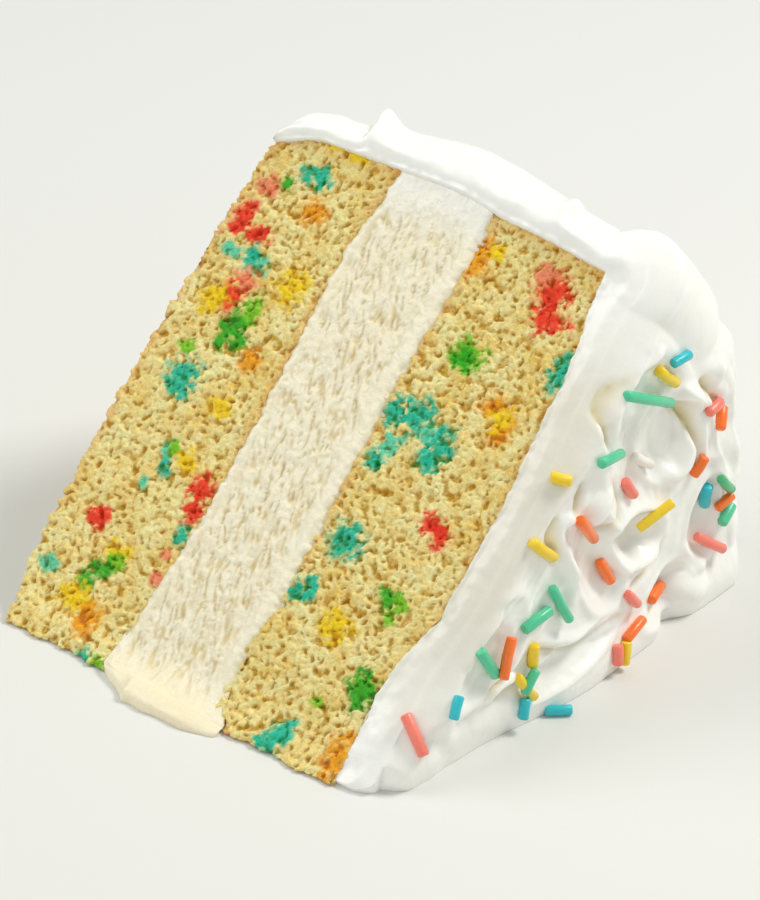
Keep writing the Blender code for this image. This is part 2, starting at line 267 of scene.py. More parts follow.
def top_of_upper_cake(radius):
    stations = ((0.0, 84.1), (20.0, 84.0), (43.0, 88.8), (60.0, 89.2), (88.0, 88.4), (114.0, 85.4))
    return along(radius, stations)


def rim_of_cake(x):
    """How far out the cake reaches: it is rounded at both of its edges."""
    return along(x, ((-2.0, 113.0), (12.0, 117.2), (45.0, 117.8), (62.0, 116.0), (88.0, 114.2)))


print("ice cream is", round(float(top_of_ice_cream(60.0) - top_of_lower_cake(60.0)), 1), "mm thick")

# %% [markdown]
# ## Sweeping a wedge
# A slice is a flat outline turned about the middle of the cake. A grid is laid in the plane of the
# cut that faces up, its points are set to the outline, and its border is spun 45 degrees about X
# down to the table, which makes the sides. One flat face closes the block where it rests.

# %% Wedge helpers
# A share of a side below or above these counts as its start or its end
AT_START, AT_END = 0.001, 0.999


def get_points(piece):
    """The piece's points in millimetres in the slice's frame."""
    flat = np.empty(len(piece.data.vertices) * 3)
    piece.data.vertices.foreach_get("co", flat)
    return flat.reshape(-1, 3) * 1000.0


def set_points(piece, points):
    piece.data.vertices.foreach_set("co", (points / 1000.0).ravel())
    piece.data.update()


def paint(piece, name, colours):
    """Stores one colour for each point, for the material to read."""
    layer = piece.data.color_attributes.new(name, "FLOAT_COLOR", "POINT")
    four = np.ones((len(colours), 4))
    four[:, :3] = colours
    layer.data.foreach_set("color", four.ravel())


def measure(piece, name, values):
    """Stores one number for each point, for the material to read."""
    layer = piece.data.attributes.new(name, "FLOAT", "POINT")
    layer.data.foreach_set("value", np.asarray(values, dtype=np.float32))


def take(piece, name):
    """Reads a number stored for each point and clears it from the mesh."""
    layer = piece.data.attributes[name]
    values = np.empty(len(piece.data.vertices), dtype=np.float32)
    layer.data.foreach_get("value", values)
    piece.data.attributes.remove(layer)
    return values.astype(float)


def gathered(share, rows, step):
    """Shares of a side that is never seen, brought together so that it has fewer points."""
    return np.round(share * rows / step) * step / rows


def swept_wedge(name, columns, rows, turns, outline):
    """A grid set to outline(across, outward) on the upper cut, with its border spun to the table."""
    bpy.ops.object.select_all(action="DESELECT")
    bpy.ops.mesh.primitive_grid_add(x_subdivisions=columns, y_subdivisions=rows, size=1.0)
    block = bpy.context.object
    block.name = name
    across = get_points(block)[:, 0] / 1000.0 + 0.5
    outward = get_points(block)[:, 1] / 1000.0 + 0.5
    measure(block, "across", across)
    measure(block, "outward", outward)
    x, radius = outline(across, outward)
    lifted = np.stack([x, radius * math.cos(SLICE_ANGLE), radius * math.sin(SLICE_ANGLE)], axis=1)
    set_points(block, lifted)
    bpy.ops.object.mode_set(mode="EDIT")
    bpy.ops.mesh.select_all(action="SELECT")
    bpy.ops.mesh.remove_doubles(threshold=1e-6)
    bpy.ops.mesh.region_to_loop()
    bpy.ops.mesh.spin(steps=turns, angle=SLICE_ANGLE, center=(0, 0, 0), axis=(1, 0, 0))
    bpy.ops.mesh.edge_face_add()
    bpy.ops.mesh.select_mode(type="VERT")
    bpy.ops.mesh.select_all(action="SELECT")
    bpy.ops.mesh.normals_make_consistent(inside=False)
    bpy.ops.object.mode_set(mode="OBJECT")
    heights = get_points(block)[:, 2]
    print(name, "swept,", len(block.data.polygons), "faces, lowest", round(heights.min(), 2))
    return block


def read_wedge(block):
    """(points, distance from the tip edge, share turned up, place across, place outward)."""
    points = get_points(block)
    radius = np.hypot(points[:, 1], points[:, 2])
    turned = np.arctan2(points[:, 2], points[:, 1]) / SLICE_ANGLE
    return points, radius, turned, take(block, "across"), take(block, "outward")


def put_in_place(piece, node):
    """Moves a finished piece from the slice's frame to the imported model's and dresses the node."""
    bpy.ops.object.select_all(action="DESELECT")
    piece.select_set(True)
    bpy.context.view_layer.objects.active = piece
    piece.location = (tip_x / 1000, tip_y / 1000, 0)
    bpy.ops.object.transform_apply(location=True, rotation=True, scale=True)
    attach(piece, "root")
    if node:
        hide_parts(node)
    print(piece.name, len(piece.data.polygons), "faces")


def linear(red, green, blue):
    """A screen colour from 0 to 255 as the linear colour that shaders use."""
    values = np.array([red, green, blue]) / 255.0
    return np.where(values <= 0.04045, values / 12.92, ((values + 0.055) / 1.055) ** 2.4)


# %% [markdown]
# ## Sponge
# A torn cut through sponge is a field of small round granules that stand in clumps, with ragged
# hollows between them. Round humps of three sizes are pressed out of scattered points, whose
# outlines a smooth noise bends, and the hollows come from a noise of their own. The same numbers
# give the hollows a painted golden shade, which stands in for the light that reaches their floor
# golden through the crumb.

# %% Sponge relief


def granules(points, size, seed, rise, least):
    """(height of round granules of this size, each granule's own number). The least granule
    stands this share of the full rise."""
    away, number = nearest_seed(points, size, seed)
    dome = np.clip(1.0 - (away / 0.86) ** 2, 0.0, 1.0)
    return rise * dome * (least + (1.0 - least) * number), number


def crumb_relief(points, seed):
    """(height of the crumb in millimetres, how much painted shade its depth gives, the granule's number)."""
    bent = points + 0.5 * bending(points, 1.7, seed) + 0.22 * bending(points, 0.8, seed + 10)
    low = ease(-waves(points, 2.0, seed + 50), 0.14, 0.55)
    lower = ease(-waves(bent + 40.0, 1.1, seed + 51), 0.18, 0.60)
    clump, _ = granules(bent, 2.5, seed + 20, 0.34, 0.4)
    granule, number = granules(bent, 1.2, seed + 30, 0.52, 0.3)
    grain, _ = granules(bent, 0.72, seed + 40, 0.42, 0.3)
    height = clump + granule + grain - 0.60 * low - 0.70 * lower
    # How much painted shade the crumb gets: 0 on the granules, up to 1 where it lies lowest
    crumb_shade = np.clip((0.48 - height) / 0.80, 0.0, 1.0)
    return 0.86 * height + 0.30 * waves(points, 9.0, seed + 5) - 0.27, crumb_shade, number


sample, _, _ = crumb_relief(columns_of(np.linspace(0.0, 60.0, 600), 40.0, 40.0), 100)
print("crumb stands", round(np.ptp(sample), 2), "mm from its deepest hollow to its highest granule")

# %% [markdown]
# The batter held coloured sugar confetti that melted while it baked. Each piece left a stain with
# a strong middle and a ragged edge that follows the crumb.

# %% Confetti stains
TEAL, AQUA = linear(0, 194, 160), linear(96, 214, 176)
RED, ROSE = linear(246, 50, 8), linear(248, 144, 104)
YELLOW, ORANGE = linear(250, 214, 0), linear(246, 168, 0)
GREEN, LIME = linear(40, 176, 8), linear(130, 204, 24)

# Each stain: X, distance from the tip edge, half width, half length, dye
LOWER_STAINS = (
    (20, 116.6, 3.6, 1.7, YELLOW), (13.5, 117, 3, 1.4, YELLOW),
    (11.2, 109.2, 2.6, 2.2, TEAL), (14.6, 109.4, 2.8, 2.8, TEAL), (7.5, 105.5, 1.6, 1.8, GREEN),
    (17, 102, 3.8, 3, ORANGE), (1.8, 95.5, 3, 4.6, RED), (7.6, 93.5, 3, 2.2, RED),
    (10.2, 87.4, 3.6, 2.8, AQUA), (8.5, 89.5, 1.8, 2.4, TEAL), (3, 88.6, 3.4, 1.8, AQUA),
    (20.5, 86.4, 4.2, 4.2, YELLOW), (9.6, 83.4, 3.6, 2.8, ROSE), (8.6, 79.4, 3.4, 4.2, RED),
    (4.8, 77.6, 3.6, 3.8, YELLOW), (14.6, 78.6, 2.6, 3.6, LIME), (12, 74, 2.6, 5.2, GREEN),
    (15.4, 71.4, 2.6, 2.6, GREEN), (20, 69, 3.4, 2.8, ORANGE), (7.2, 60.2, 4.4, 4.2, TEAL),
    (12.3, 45.3, 1.9, 2.2, AQUA), (14.2, 46.5, 2.2, 1.8, LIME), (14, 41.8, 1.8, 2.2, TEAL),
    (11, 37.1, 1.4, 1.8, AQUA), (17.8, 45, 3, 3, YELLOW), (24.4, 41.2, 2.9, 3.6, RED),
    (24.8, 36.4, 2.4, 3.2, RED), (25.3, 30.6, 1.9, 2.6, TEAL), (5.2, 27, 3.2, 2.5, RED),
    (24.3, 26, 1.4, 1.4, ROSE), (24.8, 21.2, 2.2, 2, ROSE), (-0.3, 14.3, 2.6, 2.2, AQUA),
    (13.6, 22.2, 3.8, 2.6, YELLOW), (14.4, 20.2, 3, 2, LIME), (11.2, 18, 3, 2.3, GREEN),
    (9.7, 13.8, 2.6, 2.6, GREEN), (8.2, 10.8, 3.8, 3.2, YELLOW), (11.6, 10.2, 3, 3, YELLOW),
    (14.4, 7.8, 3.2, 3.8, ORANGE), (18.6, 0.6, 2.4, 2.4, TEAL), (22.5, 1.2, 2.4, 2, LIME),
    (3.5, 103.5, 3, 2.6, ROSE), (19, 58, 3, 2.4, YELLOW), (4.5, 66.5, 2.2, 1.6, LIME),
)
UPPER_STAINS = (
    (57.4, 107, 3.4, 5, ORANGE), (60.5, 109, 2.4, 2.4, YELLOW), (76, 105.5, 4.6, 4.4, RED),
    (78.6, 100.4, 4.4, 3.4, RED), (72.8, 108.4, 2.8, 2.4, ROSE), (65.6, 87.4, 4.4, 4, LIME),
    (65, 86.6, 2.8, 2.8, GREEN), (86.6, 92, 3.2, 4.4, TEAL), (76.5, 80.4, 3.4, 2.8, ORANGE),
    (80.5, 76.4, 2.8, 3.8, ORANGE), (79, 78.6, 2.6, 2.6, YELLOW), (56.6, 71.5, 3.6, 3.4, TEAL),
    (61.8, 73, 3.6, 4.4, TEAL), (65.6, 70.6, 3, 2.4, AQUA), (69.8, 68.6, 3.2, 4.6, TEAL),
    (68.6, 65.2, 3.6, 2.4, TEAL), (58.8, 64.4, 2.6, 3, AQUA), (57.6, 61, 2.4, 2.2, TEAL),
    (76, 54, 2.6, 2.6, RED), (79, 52.6, 2.8, 2.8, RED),
    (60.3, 44, 4.4, 4.2, TEAL), (75.4, 37.3, 2.9, 2.4, GREEN), (78.4, 37.2, 2.2, 2, LIME),
    (77.6, 34, 2, 1.8, LIME), (57.2, 33.4, 2.4, 2.2, TEAL), (55.6, 30.6, 2.4, 2.4, TEAL),
    (58.4, 31.4, 1.8, 1.6, TEAL), (67.5, 27.8, 4.2, 3.6, YELLOW), (79.8, 19, 3.6, 4.2, GREEN),
    (72, 13, 2, 1.5, LIME), (81.8, 6, 3.4, 4.8, ORANGE), (66.5, 2.6, 3, 3.2, TEAL),
    (69, 5.4, 2.4, 2.6, TEAL), (58.6, -0.4, 3.4, 1.8, ROSE),
)

CRUMB_LIGHT = linear(250, 238, 172)
CRUMB_MIDDLE = linear(240, 202, 94)
# Painted shade: the golden darkening that the sponge material multiplies into the crumb's hollows
PAINTED_HOLLOW_SHADE = (0.70, 0.46, 0.08)
CRUST = linear(234, 176, 92)


def mix(first, second, share):
    return first + (second - first) * np.clip(share, 0.0, 1.0)[:, None]


def crumb_colour(points, number, stains, crust, seed):
    """Pale crumb, golden at the crust, and stained by the confetti."""
    radius = np.hypot(points[:, 1], points[:, 2])
    mottle = waves(points, 7.0, seed) + 0.5 * waves(points, 2.6, seed + 1)
    colour = mix(CRUMB_LIGHT, CRUMB_MIDDLE, 0.30 + 0.55 * mottle + 0.4 * (number - 0.5))
    patches = 0.75 + 0.6 * waves(points, 5.0, seed + 4)
    colour = mix(colour, CRUST, crust * patches)
    ragged = 0.30 * waves(points, 2.4, seed + 2) + 0.70 * (number - 0.5)
    ragged += 0.20 * waves(points, 0.8, seed + 3)
    for x, out, wide, long, dye in stains:
        centre = (x, out * math.cos(SLICE_ANGLE), out * math.sin(SLICE_ANGLE))
        aside = (points[:, 0] - centre[0]) / wide
        outward = (radius - out) / long
        deep = ((points - centre) @ UP_FROM_CUT) / 5.0
        away = np.sqrt(aside**2 + outward**2 + deep**2) + ragged
        share = 0.97 * (1.0 - ease(away, 0.55, 1.25))
        colour = mix(colour, dye[None, :], share)
    return colour


print(len(LOWER_STAINS) + len(UPPER_STAINS), "stains")

# %% [markdown]
# ## Cake layers
# Each layer is swept, then every point is moved along its own side's direction by the crumb
# height: up from the cut, out from the bare bottom and forward at the tip.

# %% Cake layers
CRUMB_CELL = 0.28
SIDE_GATHER = 3
UNDER_NEXT = 0.9


def sunk(beyond):
    """How low a layer lies where it goes on under its neighbour, from the distance past its end."""
    return 0.65 * ease(beyond, -0.8, UNDER_NEXT)


def block_outline(across, outward, start, end):
    """(X, distance from the tip edge) in a layer between two outlines."""
    radius = TIP_RADIUS + (CAKE_RADIUS - TIP_RADIUS) * outward
    x = start(radius) + (end(radius) - start(radius)) * across
    reach = (rim_of_cake(x) - TIP_RADIUS) / (CAKE_RADIUS - TIP_RADIUS)
    return x, TIP_RADIUS + (radius - TIP_RADIUS) * reach


def sweep_layer(name, start, end, columns, cell, turns, hidden_start):
    """A layer swept between two outlines, with fewer points on the sides that aren't seen, then
    what read_wedge tells of it."""
    rows = round(CAKE_RADIUS / cell / SIDE_GATHER) * SIDE_GATHER

    def outline(across, outward):
        unseen = (across > AT_END) | ((across < AT_START) & hidden_start)
        outward = np.where(unseen, gathered(outward, rows, SIDE_GATHER), outward)
        return block_outline(across, outward, start, end)

    layer = swept_wedge(name, columns, rows, turns, outline)
    return layer, *read_wedge(layer)


def add_cake_layer(name, start, end, open_bottom, stains, seed):
    columns = round((end(60.0) - start(60.0)) / CRUMB_CELL)
    turns = 62 if open_bottom else 24

    def from_x(radius):
        return start(radius) if open_bottom else start(radius) - UNDER_NEXT

    def to_x(radius):
        return end(radius) + UNDER_NEXT if open_bottom else end(radius)

    layer, points, radius, turned, across, _ = sweep_layer(
        name, from_x, to_x, columns, CRUMB_CELL, turns, not open_bottom
    )
    on_cut = turned > AT_END
    on_floor = points[:, 2] < 1e-3
    on_start = across < AT_START
    on_end = across > AT_END
    at_tip = radius < TIP_RADIUS + 0.05

    height, crumb_shade, number = crumb_relief(points, seed)
    edge_x = 0.9 * waves(points, 3.4, seed + 70) + 0.8 * waves(points, 1.3, seed + 71)
    moved = points.copy()
    if open_bottom:
        moved[:, 0] -= np.where(on_start, height, 0.0)
        height -= sunk(points[:, 0] - end(radius) + edge_x)
    else:
        moved[:, 0] += np.where(on_end & on_cut, edge_x, 0.0)
        height -= sunk(start(radius) - points[:, 0] + edge_x)
    moved += np.where(on_cut & ~at_tip, height, 0.0)[:, None] * UP_FROM_CUT
    tip = 1.0 - ease(radius, TIP_RADIUS, 10.0)
    rough = 1.5 + 0.9 * waves(points, 6.0, seed + 72) + np.where(at_tip, height, 0.0)
    moved[:, 1] -= rough * tip * ease(turned, -0.4, 1.0)
    moved[:, 2] = np.where(on_floor, 0.0, np.maximum(moved[:, 2], 0.02))
    set_points(layer, moved)

    inside = np.minimum(points[:, 0] - start(radius), end(radius) - points[:, 0])
    border = 2.0 + 1.4 * waves(points, 5.0, seed + 73)
    crust = 0.62 * (1.0 - ease(inside, 0.1, border + 0.9)) * ease(radius, 8.0, 50.0)
    crust += 0.6 * (1.0 - ease(rim_of_cake(points[:, 0]) - radius, 0.3, 3.4))
    paint(layer, "crumb", crumb_colour(points, number, stains, crust, seed + 80))
    # The painted shade of the hollows, for the sponge material
    measure(layer, "crumb_shade", crumb_shade)
    return layer


lower_cake = add_cake_layer(
    "lower_cake", bottom_of_cake, top_of_lower_cake, True, LOWER_STAINS, 100
)
upper_cake = add_cake_layer(
    "upper_cake", top_of_ice_cream, top_of_upper_cake, False, UPPER_STAINS, 300
)

# %% [markdown]
# ## Ice cream
# A knife that cuts hard ice cream tears it along its way, so the cut has long shallow pits that
# run outward, between two smooth bands that have started to melt against the cake. At the tip it
# has melted into a smooth low lip that lies on the table.

# %% Ice cream
FROSTING_WHITE = linear(250, 247, 240)
ICE_CREAM_WIDTH = 27.0
MELT_LENGTH = 7.3
MELT_HEIGHT = 3.2
MELT_REACH = 9.5
TORN_CELL = 0.30
# Tears of three sizes: width, depth, reach of the crease, shift of the seed
TEARS = ((1.7, 0.44, 0.20, 20), (1.2, 0.38, 0.20, 30), (0.8, 0.20, 0.25, 40))


def torn_relief(x, radius, seed):
    """(height of torn ice cream in millimetres, how deep in a groove each point lies, for the painted shade
    of the grooves).
    """
    slanted = columns_of(x + 0.20 * radius, radius * 0.29, 0.0)
    bent = slanted + 0.34 * bending(slanted, 1.2, seed)
    groove = np.zeros(len(x))
    height = 0.26 * waves(slanted, 2.2, seed + 5)
    for size, depth, reach, shift in TEARS:
        lines = np.abs(waves(bent, size, seed + shift))
        broken = ease(waves(slanted + 9.0, 1.3, seed + shift + 1), -0.15, 0.35)
        crease = (1.0 - ease(lines, 0.0, reach)) * broken
        height -= depth * crease
        groove = np.maximum(groove, crease * depth / TEARS[0][1])
    level = columns_of(x, radius * 0.8, 0.0)
    lump, _ = granules(level, 1.4, seed + 60, 0.12, 0.3)
    bead, _ = granules(level, 0.70, seed + 61, 0.10, 0.0)
    return height + lump + bead - 0.10, groove


def add_ice_cream():
    def start(radius):
        return top_of_lower_cake(radius) - UNDER_NEXT

    def end(radius):
        return top_of_ice_cream(radius) + UNDER_NEXT

    columns = round(ICE_CREAM_WIDTH / TORN_CELL)
    filling, points, radius, turned, across, _ = sweep_layer(
        "ice_cream", start, end, columns, TORN_CELL, 48, True
    )
    on_cut = turned > AT_END
    from_start = points[:, 0] - start(radius)
    from_end = end(radius) - points[:, 0]
    edge = np.minimum(from_start, from_end)
    edge += 0.7 * waves(points, 3.0, 527) + 0.6 * waves(points, 1.3, 528)
    ripple = waves(columns_of(across * 2, radius, 0.0), 9.0, 520)
    torn = ease(from_start, 1.6, 4.2 + 1.5 * ripple) * ease(from_end, 2.4, 6.8 + 2.0 * ripple)
    torn *= ease(radius, 0.5, 8.0) * (1.0 - 0.8 * ease(radius, 104.0, 115.0))
    height, groove = torn_relief(points[:, 0], radius, 500)
    swell = 0.45 * (1.0 - torn) * ease(edge, 0.0, 2.6) + 0.15 * waves(points, 5.0, 525)
    swell += 0.10 * waves(points, 1.6, 526)
    lift = torn * height + swell - 0.7 * (1.0 - ease(edge, 0.0, 1.8)) * ease(radius, 5.0, 14.0)

    moved = points + np.where(on_cut, lift, 0.0)[:, None] * UP_FROM_CUT
    fade = (1.0 - ease(radius, 0.0, MELT_REACH)) ** 1.5
    fade *= 0.50 + 0.50 * (1.0 - np.abs(2.0 * across - 1.0) ** 3)
    lean = math.radians(80.0) * turned
    soft = 0.9 * waves(points, 5.0, 530)
    front_y = 1.0 - (MELT_LENGTH + soft) * np.cos(lean) ** 0.6
    front_z = (MELT_HEIGHT + soft) * np.sin(lean) ** 0.7 * (1.0 - 0.5 * ease(across, 0.65, 1.0))
    moved[:, 0] += fade * 7.5 * ease(across, 0.55, 1.0)
    moved[:, 1] += (front_y - moved[:, 1]) * fade
    moved[:, 2] += (front_z - moved[:, 2]) * fade
    moved[:, 0] += 4.8 * (1.0 - ease(across, 0.0, 0.45)) * ease(-moved[:, 1], 0.0, 4.0)
    moved[:, 2] = np.where(points[:, 2] < 1e-3, 0.0, np.maximum(moved[:, 2], 0.0))
    set_points(filling, moved)
    melted = 1.0 - torn
    # Painted shade: the grooves of the torn part turn darker gold; the rest is tone that varies at random,
    # with a little more gold at the melted tip
    golden = 0.08 + 0.74 * groove * torn + 0.10 * waves(points, 6.0, 540) + 0.15 * fade
    tone = mix(linear(247, 238, 213), linear(230, 204, 138), golden)
    smeared = 0.7 * ease(radius + 3.0 * waves(points, 4.0, 545), 105.0, 116.0)
    tone = mix(tone, FROSTING_WHITE, smeared)
    paint(filling, "cream", tone)
    measure(filling, "melted", melted)
    return filling


ice_cream = add_ice_cream()

# %% [markdown]
# ## Frosting
# The frosting was spread with a spoon: each stroke carves a shallow bowl, pushes up a lip round it
# and leaves fine lines along its way. The strokes are laid one after another, so a later stroke
# cuts into those before it. Tongues are where the spoon let go.

# %% Frosting strokes
# The middle of each stroke as (Y, Z), its heading in degrees from Y, half length, half width, depth
STROKES = (
    (42, 34, 42, 24, 9.5, 1.7),
    (77, 50, 100, 18, 13, 2.6),
    (84, 47, 100, 9.5, 7.5, 3.7),
    (62, 28, -65, 15, 6.5, 2.8),
    (75.2, 27, -20, 9, 6, 3.3),
    (30, 21.5, 40, 12, 6.5, 2.9),
    (54, 9.5, 8, 16, 4, 1.3),
    (86, 9, 20, 9, 5, 1.8),
    (103.5, 42, 105, 15, 3.4, 2.3),
    (98, 20, 75, 10, 5, 2.2),
)
# Tongues and pads likewise, with the height of their middle and how far they fall to their edge
TONGUES = (
    (62.3, 41.2, 60, 7.5, 6.4, 3.3, 5.9),
    (97, 50.5, -28, 8, 4.2, 1.9, 4),
    (104, 50, -55, 8.5, 4, 0.9, 2.6),
    (94, 6, 20, 8, 7, 2.5, 4.8),
    (110, 14, 80, 10, 6, 2, 4.2),
    (72, 10, 0, 14, 3.6, 1, 2.6),
    (85.6, 45.4, 98, 9.4, 5.8, -1.3, 1.7),
)
# Crests and creases that the spoon's edge drew: height, half width, then points as (Y, Z)
CRESTS = (
    (1.1, 1.2, ((71.4, 65.6), (68, 63.4), (66, 61.2), (65, 59), (64.8, 56), (65.4, 53))),
    (0.9, 1.7, ((68.5, 64.6), (71.5, 66.2), (74.9, 67.4), (78.1, 68.3), (79.4, 70.4))),
    (0.4, 1.3, ((75.9, 56.3), (72.7, 54.7), (70.8, 51.7), (69.8, 46.8), (70.2, 39.6))),
    (0.9, 1.4, ((90.5, 43.4), (89.6, 39.9), (88, 37.6), (85.3, 37.6), (82, 39.8))),
    (2, 2.1, ((86.2, 55.4), (89, 54.6), (92, 53), (94.6, 50.8), (95.9, 48.4))),
    (1.4, 1.4, ((95.9, 49), (95.4, 45.9), (95.1, 42.8), (95.3, 38.8), (95.8, 33))),
    (1.2, 1.7, ((92.5, 58.4), (97, 56.4), (100.2, 53.4), (102.1, 49.9), (102.2, 47.2), (101.2, 44.8))),
    (1.2, 2.1, ((104.5, 38), (108, 33), (111.3, 27.5), (112, 20.7))),
    (1, 1.6, ((100.2, 36), (102.2, 31.6), (102.8, 26.5))),
    (1.4, 1.4, ((56, 38.8), (54.4, 41.2), (52.2, 42.1), (50.5, 41.2), (50.2, 38.8), (51, 36),
                (52, 32.6), (53.2, 27.7), (54, 23.1), (54.2, 19))),
    (1.1, 1.6, ((67, 30), (69.3, 25.6), (72.6, 22.7), (76.2, 21.3), (80, 21.2), (81.8, 23.4))),
    (0.9, 1.3, ((42.5, 18.8), (47.5, 16.4), (51.1, 15.1), (57.2, 13.5), (62, 13), (66.9, 12.8),
                (74, 12.3))),
    (0.7, 1.4, ((34.5, 29.5), (28.5, 25.1), (26, 22.7), (24.2, 19.6))),
    (0.9, 1.2, ((39.5, 12.7), (35.5, 12.7), (32, 12.2), (29.4, 10.2))),
    (0.8, 1.9, ((19, 18), (17.4, 15.2), (17, 12.5), (18.4, 8.6), (19.6, 3))),
    (0.4, 1.1, ((28, 32.6), (21.6, 24.4), (16.4, 18), (12.6, 13.2))),
    (1, 1.5, ((90, 17.6), (94, 14.6), (96.6, 11.6), (97.2, 7.8))),
)
CREASES = (
    (1.3, 0.7, ((71, 67.2), (66.3, 64.3), (64.3, 62.6), (63, 61), (62.4, 59.3), (62.3, 56),
                (63, 52.8))),
    (2.6, 1.2, ((85.8, 53.6), (88.6, 51.6), (91, 48.2), (92.4, 44.4), (93.1, 39.8), (93, 34.8))),
    (1.5, 1.2, ((93.6, 56.4), (95.5, 53), (97.9, 49.4), (99.4, 46.4))),
    (1.3, 1, ((57.4, 48.6), (56.2, 45.4), (55, 43.2), (54.3, 41.8))),
    (0.9, 1, ((50.4, 43.6), (48.4, 41.6), (47.9, 39.4), (48.6, 36.4), (49.6, 32.4))),
    (1, 0.9, ((84.4, 23.4), (82.5, 18.6), (79.8, 16.8), (75.9, 16.3), (72.6, 15.4))),
    (0.8, 1, ((43, 16.8), (47.5, 14.2), (54.4, 11.2), (61.7, 10.2))),
    (1, 0.9, ((38.4, 14.6), (34.4, 14.6), (31, 13.6), (28.2, 11.2))),
    (0.9, 0.9, ((39, 10.6), (35.1, 10.5), (32.2, 9.2))),
    (1, 1, ((66.3, 44.6), (68.8, 40.2), (68.5, 36.6), (65.8, 34.4), (61.9, 35), (59, 36.8))),
)
# Folds on the rim: the middle as (X, arc length up from the table), then as above
RIM_FOLDS = (
    (20, 78, 8, 26, 6, 1.6),
    (60, 70, -14, 34, 7, 2.2),
    (28, 48, 10, 30, 8, 1.8),
    (70, 40, -8, 30, 8, 2.2),
    (36, 20, 6, 34, 8, 1.8),
    (78, 14, 12, 24, 7, 2),
)


print(len(STROKES), "strokes,", len(CRESTS), "crests and", len(CREASES), "creases")

# %% [markdown]
# The height of the frosting at a place follows from these tables. A stroke is an oval bowl that
# cuts into what stood there, a tongue is a dome laid over it, and a crest or a crease is a ridge or
# a groove along a smooth line.

# %% Worked surface


def stroke_place(a, b, stroke):
    """(place along the stroke, place across it) as shares of its half length and half width."""
    turn = math.radians(stroke[2])
    lengthways = (a - stroke[0]) * math.cos(turn) + (b - stroke[1]) * math.sin(turn)
    sideways = (b - stroke[1]) * math.cos(turn) - (a - stroke[0]) * math.sin(turn)
    return lengthways / stroke[3], sideways / stroke[4]


def soft_lower(first, second, rounding):
    """The lower of two heights, with a small rounding where they cross."""
    return (first + second) / 2.0 - np.hypot(np.abs(first - second) / 2.0, rounding)


def curve_through(points, steps=6):
    """A smooth run of places through the points."""
    places = np.array([points[0], *points, points[-1]], dtype=float)
    run = []
    for before, start, end, after in zip(places, places[1:], places[2:], places[3:]):
        for share in np.arange(steps) / steps:
            bend = (2 * before - 5 * start + 4 * end - after) * share**2
            twist = (3 * start - before - 3 * end + after) * share**3
            run.append(0.5 * (2 * start + (end - before) * share + bend + twist))
    run.append(places[-1])
    return np.array(run)


def drawn_line(a, b, width, points):
    """(nearness, fade): 1 on a smooth line through the points, 0 away from it and at its ends."""
    run = curve_through(points)
    nearness = np.zeros(len(a))
    fade = np.zeros(len(a))
    reach = width * 1.7
    low, high = run.min(0) - reach, run.max(0) + reach
    near = (a > low[0]) & (a < high[0]) & (b > low[1]) & (b < high[1])
    place = np.stack([a[near], b[near]], axis=1)
    best = np.full(len(place), 1e9)
    at = np.zeros(len(place))
    for index, (start, end) in enumerate(zip(run, run[1:])):
        step = end - start
        share = np.clip((place - start) @ step / (step @ step + 1e-9), 0.0, 1.0)
        away = np.hypot(*(place - start - share[:, None] * step).T)
        closer = away < best
        best = np.where(closer, away, best)
        at = np.where(closer, (index + share) / (len(run) - 1), at)
    nearness[near] = np.clip(1.0 - best / reach, 0.0, 1.0)
    fade[near] = ease(at, -0.05, 0.22) * (1.0 - ease(at, 0.75, 1.02))
    return nearness, fade


def worked_surface(a, b, strokes, tongues, standing, rounding):
    """The height of spooned frosting: each stroke carves what stood there and lifts a lip."""
    height = np.full(len(a), standing)
    flat = columns_of(a, b, 0.0)
    for index, stroke in enumerate(strokes):
        depth = stroke[5]
        lengthways, sideways = stroke_place(a, b, stroke)
        share = np.hypot(lengthways, sideways)
        lines = waves(columns_of(lengthways * 0.8, sideways * stroke[4], 0.0), 1.6, 700 + index)
        carved = depth * (1.35 * share * share - 1.0) + 0.30 * lines * ease(1.2 - share, 0.0, 0.5)
        height = soft_lower(height, carved, rounding)
        height += 0.30 * depth * hump(share, 1.12, 0.16)
    for tongue in tongues:
        lengthways, sideways = stroke_place(a, b, tongue)
        share = np.hypot(lengthways, sideways)
        height = np.maximum(height, tongue[5] - tongue[6] * share * share)
    return height + 0.14 * waves(flat, 2.6, 690) + 0.07 * waves(flat, 1.1, 691)


def spooned_top(y, z):
    """(height of the frosting on the cake's top, height of drawn lines on it, how far in a crease, for the
    painted shade of the creases).
    """
    worked = 0.86 * worked_surface(y, z, STROKES, TONGUES, 0.8, 0.14)
    lines = np.zeros(len(y))
    crease_shade = np.zeros(len(y))
    for rise, width, points in CRESTS:
        nearness, fade = drawn_line(y, z, width, points)
        lines += 1.15 * rise * (1.0 - (1.0 - nearness) ** 2) ** 2.4 * fade
    for depth, width, points in CREASES:
        nearness, fade = drawn_line(y, z, width, points)
        lines -= 1.35 * depth * nearness**1.4 * fade
        # Painted shade: the deepest creases are painted warm gold
        crease_shade = np.maximum(crease_shade, nearness**2.2 * fade * min(depth / 1.4, 1.0))
    return worked, lines, crease_shade


# %% [markdown]
# The knife left the frosting thinner at the cut, it bulges in lobes over the table, and on the rim
# it rises in two small curls.

# %% Edges of the frosting


def cut_edge_of_top(radius):
    return along(radius, ((0.0, 91.5), (9.0, 95.2), (24.0, 94.6), (55.0, 97.2), (98.0, 95.4)))


def foot_of_top(radius):
    stations = ((0.0, 85.5), (9.0, 94.6), (24.0, 96.8), (60.0, 101.6), (80.0, 101.2))
    return along(radius, stations) - 3.4 * hump(radius, 87.5, 4.0)


